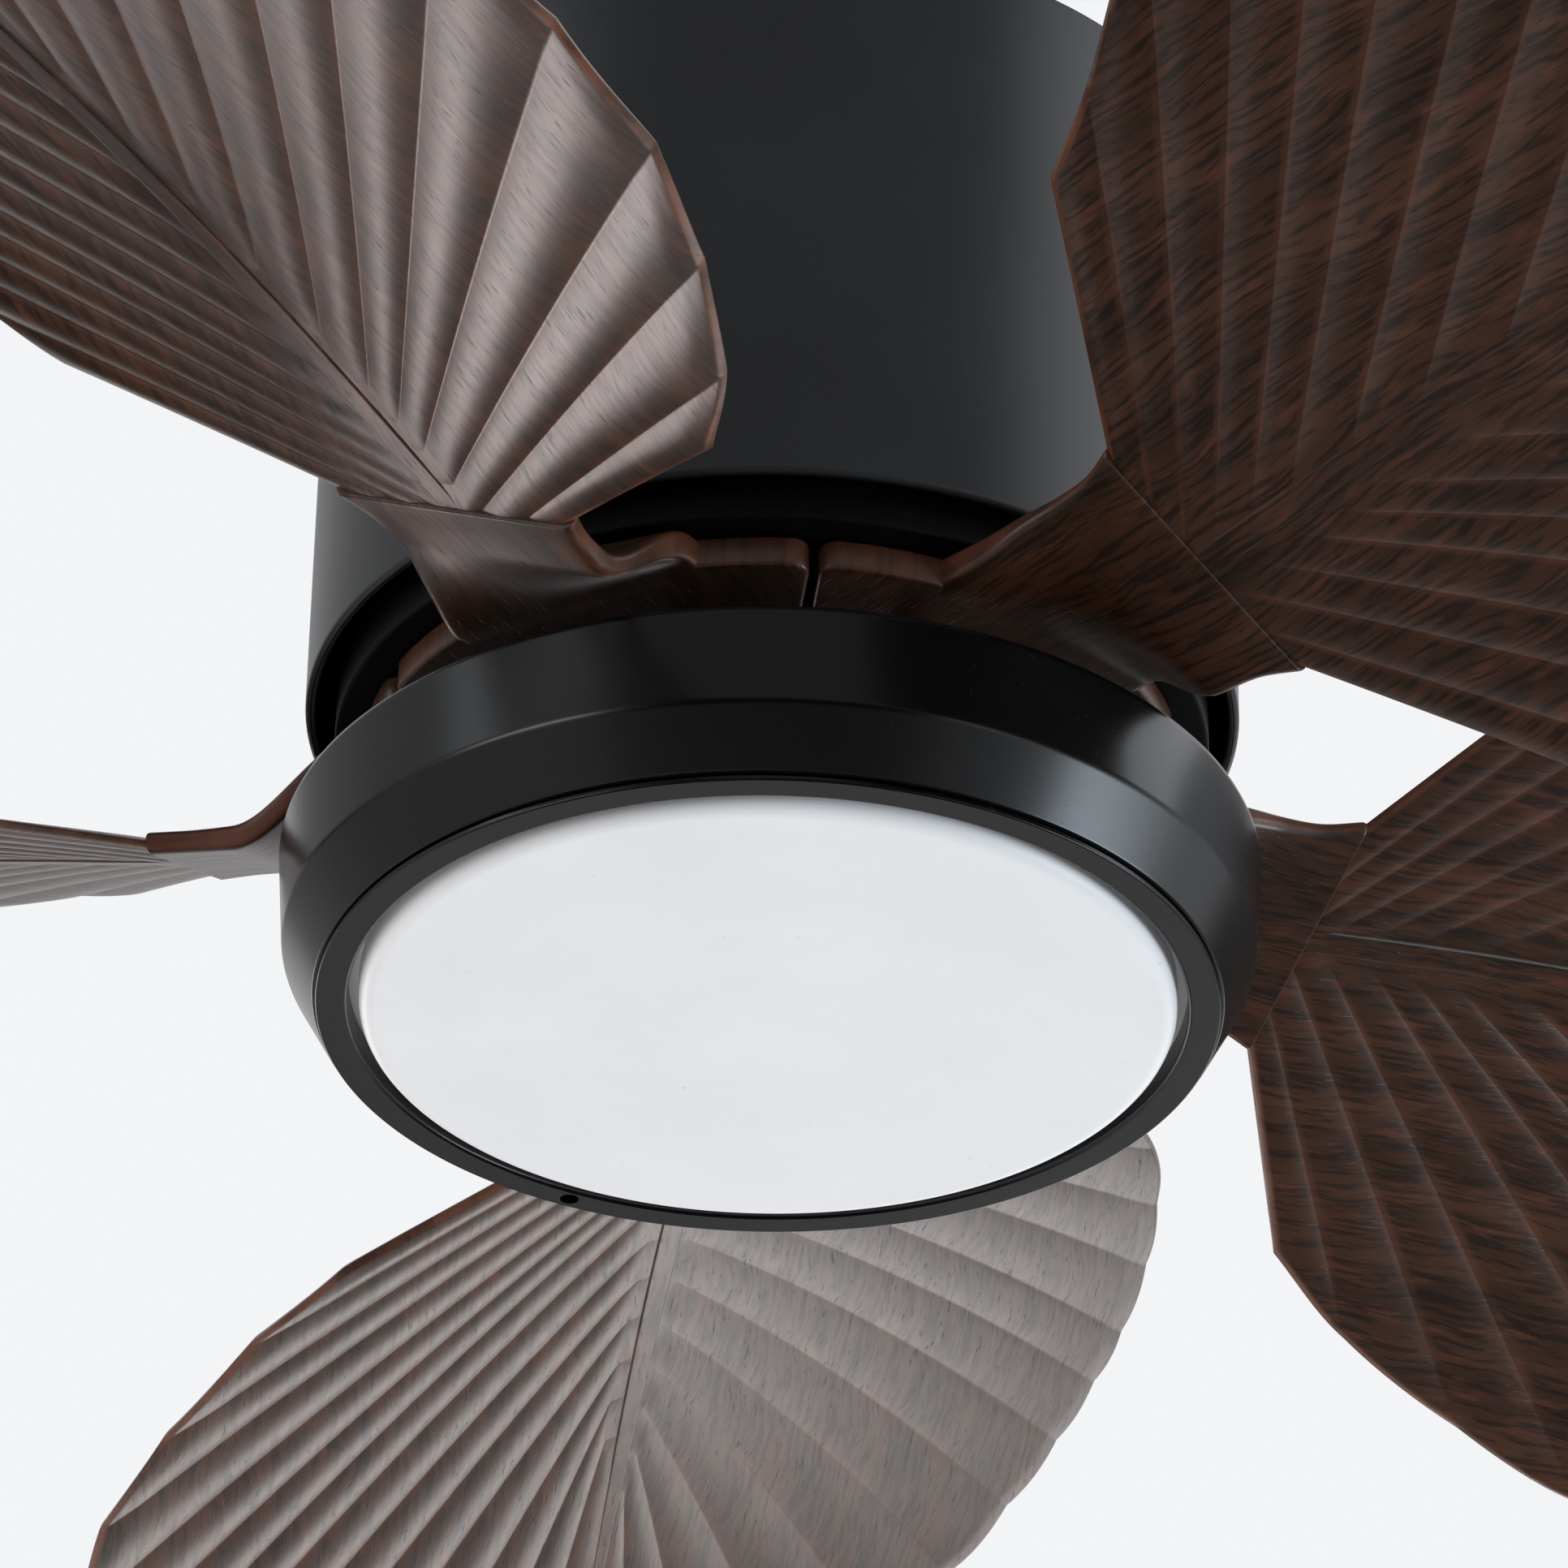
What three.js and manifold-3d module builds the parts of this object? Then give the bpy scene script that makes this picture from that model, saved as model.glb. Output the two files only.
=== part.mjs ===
// A ceiling fan that mounts flush: a tall housing, five palm-leaf blades on an
// outer rotor, and a round lamp that hangs on the still, hollow motor shaft.
// Millimetres, +Z up. The origin is the centre of the ceiling plate's top face,
// so everything hangs below z = 0. Azimuths are counted from -Y towards +X.
import * as THREE from "three";
import { mergeVertices } from "three/addons/utils/BufferGeometryUtils.js";
import Module from "manifold-3d";

// Clearances
const SEAT = 0.3; // between two pieces that rest on each other
const SCREW_PLAY = 0.3; // radial, between a screw and its hole
const SHELL_PLAY = 0.5; // radial, between the housing shell and the ceiling plate

// Ceiling plate
const PLATE_SHEET = 2.5;
const PLATE_RIM_DEPTH = 20;
const WIRE_HOLE_R = 12;
const WIRE_HOLE_OFFSET = 24;
const FIXING_SLOT_LENGTH = 26;
const FIXING_SLOT_WIDTH = 7;
const FIXING_SLOT_SPACING = 168;

// Housing shell
const HOUSING_R = 126;
const HOUSING_DEPTH = 172.2;
const HOUSING_SHEET = 1.5;
const HOUSING_HEM = 3; // folded edge at the open bottom
const HOUSING_SCREW_AZIMUTHS = [105, 180, 255];
const HOUSING_SCREW_DEPTH = 12;
const HOOK_WIDTH = 16;
const HOOK_SHEET = 2;
const HOOK_REACH = 6;
const HOOK_DEPTH = 9;

// Motor hanger, a pressed cone under the ceiling plate
const HANGER_SHEET = 2;
const HANGER_FLANGE = 22;
const HANGER_HUB_R = 24;
const HANGER_HUB_SHEET = 4;
const HANGER_GAP = 16.5; // between its hub and the rotor
const HANGER_WINDOW = { height: 28, width: 22 };
const MOUTH_MARGIN = 2; // between the hanger's mouth and the wire hole

// Hollow shaft and its nuts
const SHAFT_THREAD_R = 7;
const SHAFT_SEAT_R = 9.7;
const SHAFT_SHOULDER = 2.3; // radial, at the ends of the seats
const SHAFT_BORE_R = 5;
const SHAFT_COLLAR_HEIGHT = 4;
const NUT_FLATS = 22;
const NUT_HEIGHT = 7;
const THREAD_SPARE = 3; // thread left over beyond a nut

// Rotor case
const ROTOR_GAP = 5.3; // radial, inside the housing's hem
const ROTOR_FLANGE = 9.7; // of the upper cover, over the lower one
const ROTOR_HEIGHT = 71.4;
const ROTOR_DISH_HEIGHT = 12;
const ROTOR_DISH_WALL = 5;
const ROTOR_DISH_EDGE = 0.8;
const ROTOR_SHEET = 2.5;
const ROTOR_CHAMFER = 10;
const ROTOR_BASE_SHEET = 3;
const ROTOR_SCREW_COUNT = 3;
const ROTOR_SCREW_GRIP = 5;
const ROTOR_DROP = 9.2; // of its underside below the housing

// Bearings
const BEARING_INNER_RACE = 3.2;
const BEARING_OUTER_R = 21;
const BEARING_OUTER_RACE = 4;
const BEARING_HEIGHT = 9;
const BEARING_WALL = 3.2;
const BEARING_LIP_GAP = 1.3; // between the inner race and a cover's lip

// Stator and magnets
const STATOR_YOKE_R = 60;
const TOOTH_COUNT = 12;
const TOOTH_WIDTH = 14;
const TOOTH_SHOE = 6;
const TOOTH_SHOE_ANGLE = 24;
const AIR_GAP = 1.5;
const MAGNET_THICKNESS = 8;
const MAGNET_OVERHANG = 2;
const COIL_WIDTH = 8.5;
const COIL_END = 7;
const COIL_ROOM = 7.5; // between a coil's end and the case
const COIL_GAP = 0.9; // between a coil and the iron at its ends

// Blades
const BLADE_COUNT = 5;
const BLADE_PHASE = 42.3; // azimuth of the first blade
const PAD_PHASE = -0.8; // the root pads sit this much behind the leaves
const PAD_INNER_R = 55;
const PAD_INSET = 7.7; // of the pads' outer edge from the rotor's
const PAD_THICKNESS = 9.2;
const PAD_GAP = 2.2;
const PAD_EDGE = 1.2;
const PAD_CORNER = 4; // of the outer corners, seen from below
const TWIST_OVERLAP = 4; // of the arm's turn with the pad
const TWIST_LENGTH = 35; // over which the arm turns and drops
const ARM_LENGTH = 57; // from the start of the turn to the seam
const SEAM_DROP = 8; // of the seam's middle below the pad's middle
const LEAF_PITCH = 25.3;
const LEAF_SLOPE = 0.144; // rise per unit of radius, at the seam
const LEAF_DROOP = 4.03e-4; // fall per squared unit of radius beyond the seam
const LEAF_THICKNESS = 4;
const PLEAT_DEPTH = 1.5;
const PLEATS_PER_SIDE = 4;
const PLEAT_FADE = 40; // length over which the pleats rise from the seam
const ARM_THICKNESS = 5.5;
const SEAM_BLEND = 10; // length over which the leaf thins beyond the seam
const SEAM_HALF_WIDTH = 39.5;
// Half widths of the arm at distances from the start of its turn.
const ARM_OUTLINE = [
  [-14, 37],
  [0, 36.5],
  [12, 34.5],
  [24, 34.3],
  [35, 34.4],
  [46, 35.6],
  [ARM_LENGTH, SEAM_HALF_WIDTH],
];
const LEAF_LENGTH = 497;
const LEAF_HALF_WIDTH = 192;
// The leaf's edge: share of its length, share of its half width.
const LEAF_OUTLINE = [
  [0.034, 0.391],
  [0.074, 0.557],
  [0.125, 0.651],
  [0.195, 0.76],
  [0.296, 0.88],
  [0.416, 0.974],
  [0.537, 1],
  [0.658, 0.974],
  [0.779, 0.865],
  [0.879, 0.625],
  [0.96, 0.312],
  [1, 0.052],
];
const BLADE_SCREW_SPREAD = 30; // angle between a blade's two screws

// Lamp
const PAN_GAP = 25; // between the blade roots and the pan
const PAN_SHEET = 1.5;
const PAN_TOP_R = 131;
const PAN_EDGE = 1.6;
const PAN_WALL_R = 129;
const PAN_WALL_DEPTH = 27.8;
const PAN_DEPTH = 43.6;
const PAN_MOUTH_R = 120.2;
const PAN_HOLE_R = 18;
const PAN_SHELF_DEPTH = 34;
const LIP_INSET = 0.9; // of the ring's outer edge inside the pan's mouth
const LIP_WIDTH = 8.6;
const LIP_SHEET = 1.5;
const LIP_EDGE = 0.9;
const SKIRT_PLAY = 0.5; // radial, between the ring's skirt and the pan
const LOCK_SCREW_AZIMUTH = 208;
const LOCK_HOLE_R = 2.65;
const LOCK_SCREW_LENGTH = 9;
const LOCK_SCREW_RECESS = 1.5;
const DIFFUSER_GAP = 2.8; // radial, between the ring and the diffuser
const DIFFUSER_WALL = 1.6;
const DIFFUSER_SHOULDER = 4;
const DIFFUSER_PROUD = 1.8; // how far it stands below the lip
const BRACKET_R = 45;
const BRACKET_SHEET = 2.5;
const PAN_SCREW_COUNT = 3;
const BOARD_MARGIN = 14; // of the board round its posts
const BOARD_SHEET = 1.6;
const BOARD_GAP = 3.2; // between the driver and the board
const POST_R = 4;
const POST_GAP = 6; // between the driver and a post
const POST_PHASE = 60;
const POST_STUD_R = 1.8;
const POST_BARB_R = 2.8;
const DRIVER_SIZE = { x: 76, y: 34, z: 15 };
const DRIVER_GAP = 2; // between the pan's screws and the driver

// Wiring in the housing
const RECEIVER_HEIGHT = 24;
const RECEIVER_FACE_GAP = 25.5; // between the receiver's outer face and the plate's rim
const RECEIVER_CORNER_GAP = 12; // between its outer corners and the rim
const TERMINAL_SIZE = { x: 20, y: 32, z: 13 };
const WIRING_GAP = 2; // between the hanger and what lies beside it
const LEAD_R = 2;
const LEAD_STEP = 9.4; // length of lead between two of its sections

// Screws: shank radius, head radius and head height
const SMALL_SCREW = { shank: 1.6, head: 3, height: 2 };
const SCREW = { shank: 2, head: 4, height: 2.4 };

// Sides of round pieces, from the largest to the smallest
const FINE = 48;
const COARSE = 32;
const SMALL = 16;
const TINY = 8;

// What follows from the sizes above: radii, from the housing inwards
const HOUSING_INNER_R = HOUSING_R - HOUSING_SHEET;
const HEM_R = HOUSING_INNER_R - HOUSING_SHEET;
const PLATE_R = HOUSING_INNER_R - SHELL_PLAY;
const ROTOR_DISH_R = HEM_R - ROTOR_GAP;
const ROTOR_R = ROTOR_DISH_R - ROTOR_FLANGE;
const CASE_INNER_R = ROTOR_R - ROTOR_SHEET;
const MAGNET_OUTER_R = CASE_INNER_R - SEAT;
const MAGNET_INNER_R = MAGNET_OUTER_R - MAGNET_THICKNESS;
const STATOR_R = MAGNET_INNER_R - AIR_GAP;
const SHOE_ROOT_R = STATOR_R - TOOTH_SHOE;
const FLANGE_SCREW_R = ROTOR_DISH_R - ROTOR_DISH_WALL / 2;
const SHAFT_CORE_R = SHAFT_SEAT_R + SHAFT_SHOULDER;
const BEARING_INNER_R = SHAFT_SEAT_R + SEAT;
const BEARING_LIP_R = BEARING_INNER_R + BEARING_INNER_RACE + BEARING_LIP_GAP;
const POCKET_R = BEARING_OUTER_R + SEAT;
const HANGER_MOUTH_R = WIRE_HOLE_OFFSET + WIRE_HOLE_R + MOUTH_MARGIN + HANGER_SHEET;
const HANGER_FLANGE_R = HANGER_MOUTH_R + HANGER_FLANGE;
const HANGER_SCREW_CIRCLE_R = (HANGER_MOUTH_R + HANGER_FLANGE_R) / 2;

// Radii of the blades and the lamp
const PAD_OUTER_R = ROTOR_DISH_R - PAD_INSET;
const BLADE_SCREW_CIRCLE_R = (PAD_INNER_R + PAD_OUTER_R) / 2;
const TWIST_START = PAD_OUTER_R - TWIST_OVERLAP;
const TWIST_END = TWIST_START + TWIST_LENGTH;
const SEAM_RADIUS = TWIST_START + ARM_LENGTH;
const LIP_OUTER_R = PAN_MOUTH_R - LIP_INSET;
const LIP_INNER_R = LIP_OUTER_R - LIP_WIDTH;
const SKIRT_R = PAN_MOUTH_R - PAN_SHEET - SKIRT_PLAY;
const LOCK_CIRCLE_R = (LIP_INNER_R + LIP_OUTER_R) / 2;
const DIFFUSER_R = LIP_INNER_R - DIFFUSER_GAP;
const DIFFUSER_FLANGE_R = LOCK_CIRCLE_R - SCREW.shank - SCREW_PLAY;
const PAN_SCREW_CIRCLE_R = (PAN_HOLE_R + BRACKET_R) / 2;
const DRIVER_OFFSET = PAN_SCREW_CIRCLE_R + SCREW.head + DRIVER_GAP;
const POST_CIRCLE_R = DRIVER_OFFSET + DRIVER_SIZE.y + POST_GAP + POST_R;
const BOARD_R = POST_CIRCLE_R + BOARD_MARGIN;

// Heights, from the housing's edge up to the ceiling
const PAD_TOP_Z = -HOUSING_DEPTH - ROTOR_DROP;
const ROTOR_FLOOR_Z = PAD_TOP_Z + SEAT; // underside of the rotor case
const ROTOR_TOP_Z = PAD_TOP_Z + ROTOR_HEIGHT;
const CASE_CEILING_Z = ROTOR_TOP_Z - ROTOR_SHEET;
const BASE_TOP_Z = ROTOR_FLOOR_Z + ROTOR_BASE_SHEET;
const CASE_SEAM_Z = ROTOR_FLOOR_Z + ROTOR_DISH_HEIGHT;
const BOSS_TOP_Z = ROTOR_TOP_Z + BEARING_HEIGHT;
const UPPER_BEARING_Z = BOSS_TOP_Z - BEARING_HEIGHT - SEAT;
const LOWER_BEARING_Z = BASE_TOP_Z + SEAT;
const STATOR_CENTRE_Z = (CASE_CEILING_Z + BASE_TOP_Z) / 2;
const STATOR_HEIGHT =
  CASE_CEILING_Z - BASE_TOP_Z - 2 * (COIL_END + SEAT + COIL_ROOM);
const HANGER_TOP_Z = -PLATE_SHEET - SEAT;
const HANGER_FLANGE_Z = HANGER_TOP_Z - HANGER_SHEET; // under its flange
const HANGER_BOTTOM_Z = BOSS_TOP_Z + ROTOR_SHEET + HANGER_GAP;
const HUB_TOP_Z = HANGER_BOTTOM_Z + HANGER_HUB_SHEET;
const WINDOW_Z = (HANGER_FLANGE_Z + HUB_TOP_Z) / 2;

// Heights, from the blade roots down to the diffuser
const PAD_MIDDLE_Z = PAD_TOP_Z - PAD_THICKNESS / 2;
const PAN_TOP_Z = PAD_TOP_Z - PAD_THICKNESS - PAN_GAP;
const PAN_WALL_Z = PAN_TOP_Z - PAN_WALL_DEPTH;
const PAN_SHELF_Z = PAN_TOP_Z - PAN_SHELF_DEPTH; // top of the inner shelf
const PAN_MOUTH_Z = PAN_TOP_Z - PAN_DEPTH;
const BRACKET_BOTTOM_Z = PAN_TOP_Z + SEAT;
const BRACKET_TOP_Z = BRACKET_BOTTOM_Z + BRACKET_SHEET;
const DRIVER_TOP_Z = PAN_TOP_Z - PAN_SHEET - SEAT;
const BOARD_TOP_Z = DRIVER_TOP_Z - DRIVER_SIZE.z - BOARD_GAP;
const LIP_TOP_Z = PAN_MOUTH_Z - SEAT;
const LIP_BOTTOM_Z = LIP_TOP_Z - LIP_SHEET;
const FLANGE_TOP_Z = PAN_SHELF_Z - PAN_SHEET - SEAT;

const paint = (color, roughness, metalness) =>
  new THREE.MeshStandardMaterial({ color, roughness, metalness });
const MATERIALS = {
  blackPaint: paint(0x1b1d21, 0.45, 0.5),
  darkPaint: paint(0x2b2e33, 0.5, 0.4),
  zinc: paint(0xa9adb0, 0.4, 0.9),
  steel: paint(0x85898c, 0.35, 0.95),
  laminations: paint(0x54585c, 0.55, 0.8),
  copper: paint(0xb06a3a, 0.4, 0.9),
  magnet: paint(0x33363a, 0.6, 0.3),
  darkWood: paint(0x3c2316, 0.5, 0),
  opal: paint(0xe3e3e1, 0.5, 0),
  whiteBoard: paint(0xf1f1ee, 0.5, 0),
  plastic: paint(0xd9dad6, 0.6, 0),
  lead: paint(0x1a1a1a, 0.7, 0),
};

const wasm = await Module();
wasm.setup();

function toSolid(geometry) {
  const bare = geometry.clone();
  bare.deleteAttribute("normal");
  bare.deleteAttribute("uv");
  const merged = mergeVertices(bare, 1e-4);
  return new wasm.Manifold(
    new wasm.Mesh({
      numProp: 3,
      vertProperties: merged.attributes.position.array,
      triVerts: new Uint32Array(merged.index.array),
    }),
  );
}

function toGeometry(solid) {
  const { vertProperties, triVerts } = solid.getMesh();
  const geometry = new THREE.BufferGeometry();
  geometry.setAttribute("position", new THREE.BufferAttribute(vertProperties, 3));
  geometry.setIndex(new THREE.BufferAttribute(triVerts, 1));
  const flat = geometry.toNonIndexed();
  flat.computeVertexNormals();
  return flat;
}

const cut = (body, tools) =>
  toGeometry(tools.reduce((rest, tool) => rest.subtract(toSolid(tool)), toSolid(body)));
const join = (body, others) =>
  toGeometry(others.reduce((sum, other) => sum.add(toSolid(other)), toSolid(body)));

// A profile of [radius, z] points, listed with the solid on the left, turned
// about Z. A profile that leaves the axis free is closed on itself.
function turned(profile, sides) {
  const points = profile.map(([r, z]) => new THREE.Vector2(r, z));
  const onAxis = points[0].x === 0 && points.at(-1).x === 0;
  if (!onAxis) points.push(points[0].clone());
  return new THREE.LatheGeometry(points, sides).rotateX(Math.PI / 2);
}

const disc = (r, low, high, sides = SMALL) =>
  turned([[0, low], [r, low], [r, high], [0, high]], sides);

const tube = (inner, outer, low, high, sides = SMALL) =>
  turned([[inner, low], [outer, low], [outer, high], [inner, high]], sides);

const block = (size, x, y, z) =>
  new THREE.BoxGeometry(size.x, size.y, size.z).translate(x, y, z);

// Arc points from one angle to another, in degrees, for profiles and outlines.
function arc(cx, cy, r, from, to, steps) {
  return Array.from({ length: steps + 1 }, (_, i) => {
    const a = THREE.MathUtils.degToRad(from + ((to - from) * i) / steps);
    return [cx + r * Math.cos(a), cy + r * Math.sin(a)];
  });
}

function polar(r, degrees) {
  const a = THREE.MathUtils.degToRad(degrees);
  return [r * Math.cos(a), r * Math.sin(a)];
}

const evenly = (count) => Array.from({ length: count }, (_, i) => (360 / count) * i);

// A group turned so that its own +X points to an azimuth.
function facing(azimuth, ...children) {
  const group = new THREE.Group();
  group.rotation.z = THREE.MathUtils.degToRad(azimuth - 90);
  group.add(...children);
  return group;
}

const turnedTo = (geometry, azimuth) =>
  geometry.rotateZ(THREE.MathUtils.degToRad(azimuth - 90));

function piece(name, geometry, material) {
  const mesh = new THREE.Mesh(geometry, material);
  mesh.name = name;
  return mesh;
}

// A pan-head screw along +Z: its head's bearing face is at z = 0 and its shank
// rises from there.
function screwShape(size, length) {
  const { shank, head, height } = size;
  return turned(
    [
      [0, -height],
      [head, -height],
      [head, 0],
      [shank, 0],
      [shank, length],
      [0, length],
    ],
    TINY,
  );
}

const holeFor = (size, low, high) => disc(size.shank + SCREW_PLAY, low, high, TINY);

// --- Ceiling plate and housing -------------------------------------------

function fixingSlot() {
  const half = FIXING_SLOT_LENGTH / 2 - FIXING_SLOT_WIDTH / 2;
  const outline = [
    ...arc(half, 0, FIXING_SLOT_WIDTH / 2, -90, 90, 6),
    ...arc(-half, 0, FIXING_SLOT_WIDTH / 2, 90, 270, 6),
  ].map(([x, y]) => new THREE.Vector2(x, y));
  return new THREE.ExtrudeGeometry(new THREE.Shape(outline), {
    depth: 3 * PLATE_SHEET,
    bevelEnabled: false,
  }).translate(0, 0, -2 * PLATE_SHEET);
}

function ceilingPlate() {
  const sheet = turned(
    [
      [0, -PLATE_SHEET],
      [PLATE_R - PLATE_SHEET, -PLATE_SHEET],
      [PLATE_R - PLATE_SHEET, -PLATE_RIM_DEPTH],
      [PLATE_R, -PLATE_RIM_DEPTH],
      [PLATE_R, 0],
      [0, 0],
    ],
    FINE,
  );
  const wireHole = disc(WIRE_HOLE_R, -2 * PLATE_SHEET, PLATE_SHEET).translate(
    0,
    WIRE_HOLE_OFFSET,
    0,
  );
  const slots = [-1, 1].map((side) =>
    fixingSlot().translate(0, (side * FIXING_SLOT_SPACING) / 2, 0),
  );
  const hangerHoles = evenly(3).map((azimuth) =>
    turnedTo(
      holeFor(SCREW, -2 * PLATE_SHEET, PLATE_SHEET).translate(HANGER_SCREW_CIRCLE_R, 0, 0),
      azimuth,
    ),
  );
  const hookWindow = turnedTo(
    block(
      {
        x: 4 * PLATE_SHEET,
        y: HOOK_WIDTH + 4 * SEAT,
        z: HOOK_SHEET + 2 * SEAT,
      },
      PLATE_R,
      0,
      -HOOK_DEPTH - HOOK_SHEET / 2,
    ),
    0,
  );
  return cut(sheet, [
    wireHole,
    ...slots,
    ...hangerHoles,
    hookWindow,
    ...HOUSING_SCREW_AZIMUTHS.map((azimuth) => sideHole(azimuth)),
  ]);
}

// A radial hole for a housing screw, through the shell and the plate's rim.
function sideHole(azimuth) {
  const hole = holeFor(SCREW, PLATE_R - 3 * PLATE_SHEET, HOUSING_R + PLATE_SHEET);
  hole.rotateY(Math.PI / 2).translate(0, 0, -HOUSING_SCREW_DEPTH);
  return turnedTo(hole, azimuth);
}

function housingShell() {
  const hemTop = -HOUSING_DEPTH + HOUSING_HEM;
  const wall = turned(
    [
      [HEM_R, -HOUSING_DEPTH],
      [HOUSING_R, -HOUSING_DEPTH],
      [HOUSING_R, -SEAT],
      [HOUSING_INNER_R, -SEAT],
      [HOUSING_INNER_R, hemTop],
      [HEM_R, hemTop],
    ],
    FINE,
  );
  const hook = turnedTo(
    block(
      { x: HOOK_REACH + HOUSING_SHEET / 2, y: HOOK_WIDTH, z: HOOK_SHEET },
      HOUSING_INNER_R + HOUSING_SHEET / 4 - HOOK_REACH / 2,
      0,
      -HOOK_DEPTH - HOOK_SHEET / 2,
    ),
    0,
  );
  return cut(
    join(wall, [hook]),
    HOUSING_SCREW_AZIMUTHS.map((azimuth) => sideHole(azimuth)),
  );
}

function housingScrews() {
  const length = HOUSING_SHEET + SHELL_PLAY + 2 * PLATE_SHEET;
  return HOUSING_SCREW_AZIMUTHS.map((azimuth, i) => {
    const screw = piece(`housing_screw_${i + 1}`, screwShape(SCREW, length), MATERIALS.zinc);
    screw.rotation.y = -Math.PI / 2;
    screw.position.set(HOUSING_R + SEAT, 0, -HOUSING_SCREW_DEPTH);
    return facing(azimuth, screw);
  });
}

// --- Motor hanger and shaft ----------------------------------------------

function motorHanger() {
  const cone = turned(
    [
      [SHAFT_THREAD_R + SEAT, HANGER_BOTTOM_Z],
      [HANGER_HUB_R, HANGER_BOTTOM_Z],
      [HANGER_MOUTH_R, HANGER_FLANGE_Z],
      [HANGER_FLANGE_R, HANGER_FLANGE_Z],
      [HANGER_FLANGE_R, HANGER_TOP_Z],
      [HANGER_MOUTH_R - HANGER_SHEET, HANGER_TOP_Z],
      [HANGER_HUB_R - HANGER_SHEET, HUB_TOP_Z],
      [SHAFT_THREAD_R + SEAT, HUB_TOP_Z],
    ],
    COARSE,
  );
  const holes = evenly(3).map((azimuth) =>
    turnedTo(
      holeFor(SCREW, HANGER_FLANGE_Z - HANGER_SHEET, 0).translate(
        HANGER_SCREW_CIRCLE_R,
        0,
        0,
      ),
      azimuth,
    ),
  );
  const { height, width } = HANGER_WINDOW;
  const window = block(
    { x: HANGER_MOUTH_R, y: width, z: height },
    HANGER_MOUTH_R,
    0,
    WINDOW_Z,
  );
  return cut(cone, [...holes, window]);
}

function hangerScrews() {
  const headFace = HANGER_FLANGE_Z - SEAT;
  return evenly(3).map((azimuth, i) => {
    const shape = screwShape(SCREW, -headFace - SEAT);
    const screw = piece(`hanger_screw_${i + 1}`, shape, MATERIALS.zinc);
    screw.position.set(HANGER_SCREW_CIRCLE_R, 0, headFace);
    return facing(azimuth, screw);
  });
}

function motorShaft() {
  const top = HUB_TOP_Z + SEAT + NUT_HEIGHT + THREAD_SPARE;
  const bottom = BRACKET_BOTTOM_Z - SEAT - NUT_HEIGHT - THREAD_SPARE;
  const collarTop = HANGER_BOTTOM_Z - SEAT;
  const coreTop = UPPER_BEARING_Z - SEAT;
  const coreBottom = LOWER_BEARING_Z + BEARING_HEIGHT + SEAT;
  return turned(
    [
      [SHAFT_BORE_R, bottom],
      [SHAFT_THREAD_R, bottom],
      [SHAFT_THREAD_R, BRACKET_TOP_Z + SEAT],
      [SHAFT_SEAT_R, BRACKET_TOP_Z + SEAT],
      [SHAFT_SEAT_R, coreBottom],
      [SHAFT_CORE_R, coreBottom],
      [SHAFT_CORE_R, coreTop],
      [SHAFT_SEAT_R, coreTop],
      [SHAFT_SEAT_R, collarTop - SHAFT_COLLAR_HEIGHT],
      [SHAFT_CORE_R, collarTop - SHAFT_COLLAR_HEIGHT],
      [SHAFT_CORE_R, collarTop],
      [SHAFT_THREAD_R, collarTop],
      [SHAFT_THREAD_R, top],
      [SHAFT_BORE_R, top],
    ],
    SMALL,
  );
}

function hexNut(bottom) {
  const acrossCorners = NUT_FLATS / Math.cos(Math.PI / 6);
  const hexagon = new THREE.CylinderGeometry(
    acrossCorners / 2,
    acrossCorners / 2,
    NUT_HEIGHT,
    6,
  ).rotateX(Math.PI / 2);
  hexagon.translate(0, 0, bottom + NUT_HEIGHT / 2);
  return cut(hexagon, [
    disc(SHAFT_THREAD_R + SEAT, bottom - NUT_HEIGHT, bottom + 2 * NUT_HEIGHT),
  ]);
}

// --- Rotor, bearings, stator ---------------------------------------------

function flangeHoles() {
  return evenly(ROTOR_SCREW_COUNT).map((azimuth) =>
    turnedTo(
      holeFor(
        SMALL_SCREW,
        CASE_SEAM_Z - ROTOR_SCREW_GRIP - 3 * SEAT,
        CASE_SEAM_Z + 2 * ROTOR_SHEET,
      ).translate(FLANGE_SCREW_R, 0, 0),
      azimuth,
    ),
  );
}

function rotorCoverUpper() {
  const flangeBottom = CASE_SEAM_Z + SEAT;
  const flangeTop = flangeBottom + ROTOR_SHEET;
  const wall = POCKET_R + BEARING_WALL;
  const cover = turned(
    [
      [CASE_INNER_R, flangeBottom],
      [ROTOR_DISH_R, flangeBottom],
      [ROTOR_DISH_R, flangeTop],
      [ROTOR_R, flangeTop],
      [ROTOR_R, ROTOR_TOP_Z - ROTOR_CHAMFER],
      [ROTOR_R - ROTOR_CHAMFER, ROTOR_TOP_Z],
      [wall, ROTOR_TOP_Z],
      [wall, BOSS_TOP_Z + ROTOR_SHEET],
      [BEARING_LIP_R, BOSS_TOP_Z + ROTOR_SHEET],
      [BEARING_LIP_R, BOSS_TOP_Z],
      [POCKET_R, BOSS_TOP_Z],
      [POCKET_R, CASE_CEILING_Z],
      [CASE_INNER_R - ROTOR_CHAMFER, CASE_CEILING_Z],
      [CASE_INNER_R, CASE_CEILING_Z - ROTOR_CHAMFER],
    ],
    COARSE,
  );
  return cut(cover, flangeHoles());
}

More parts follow.
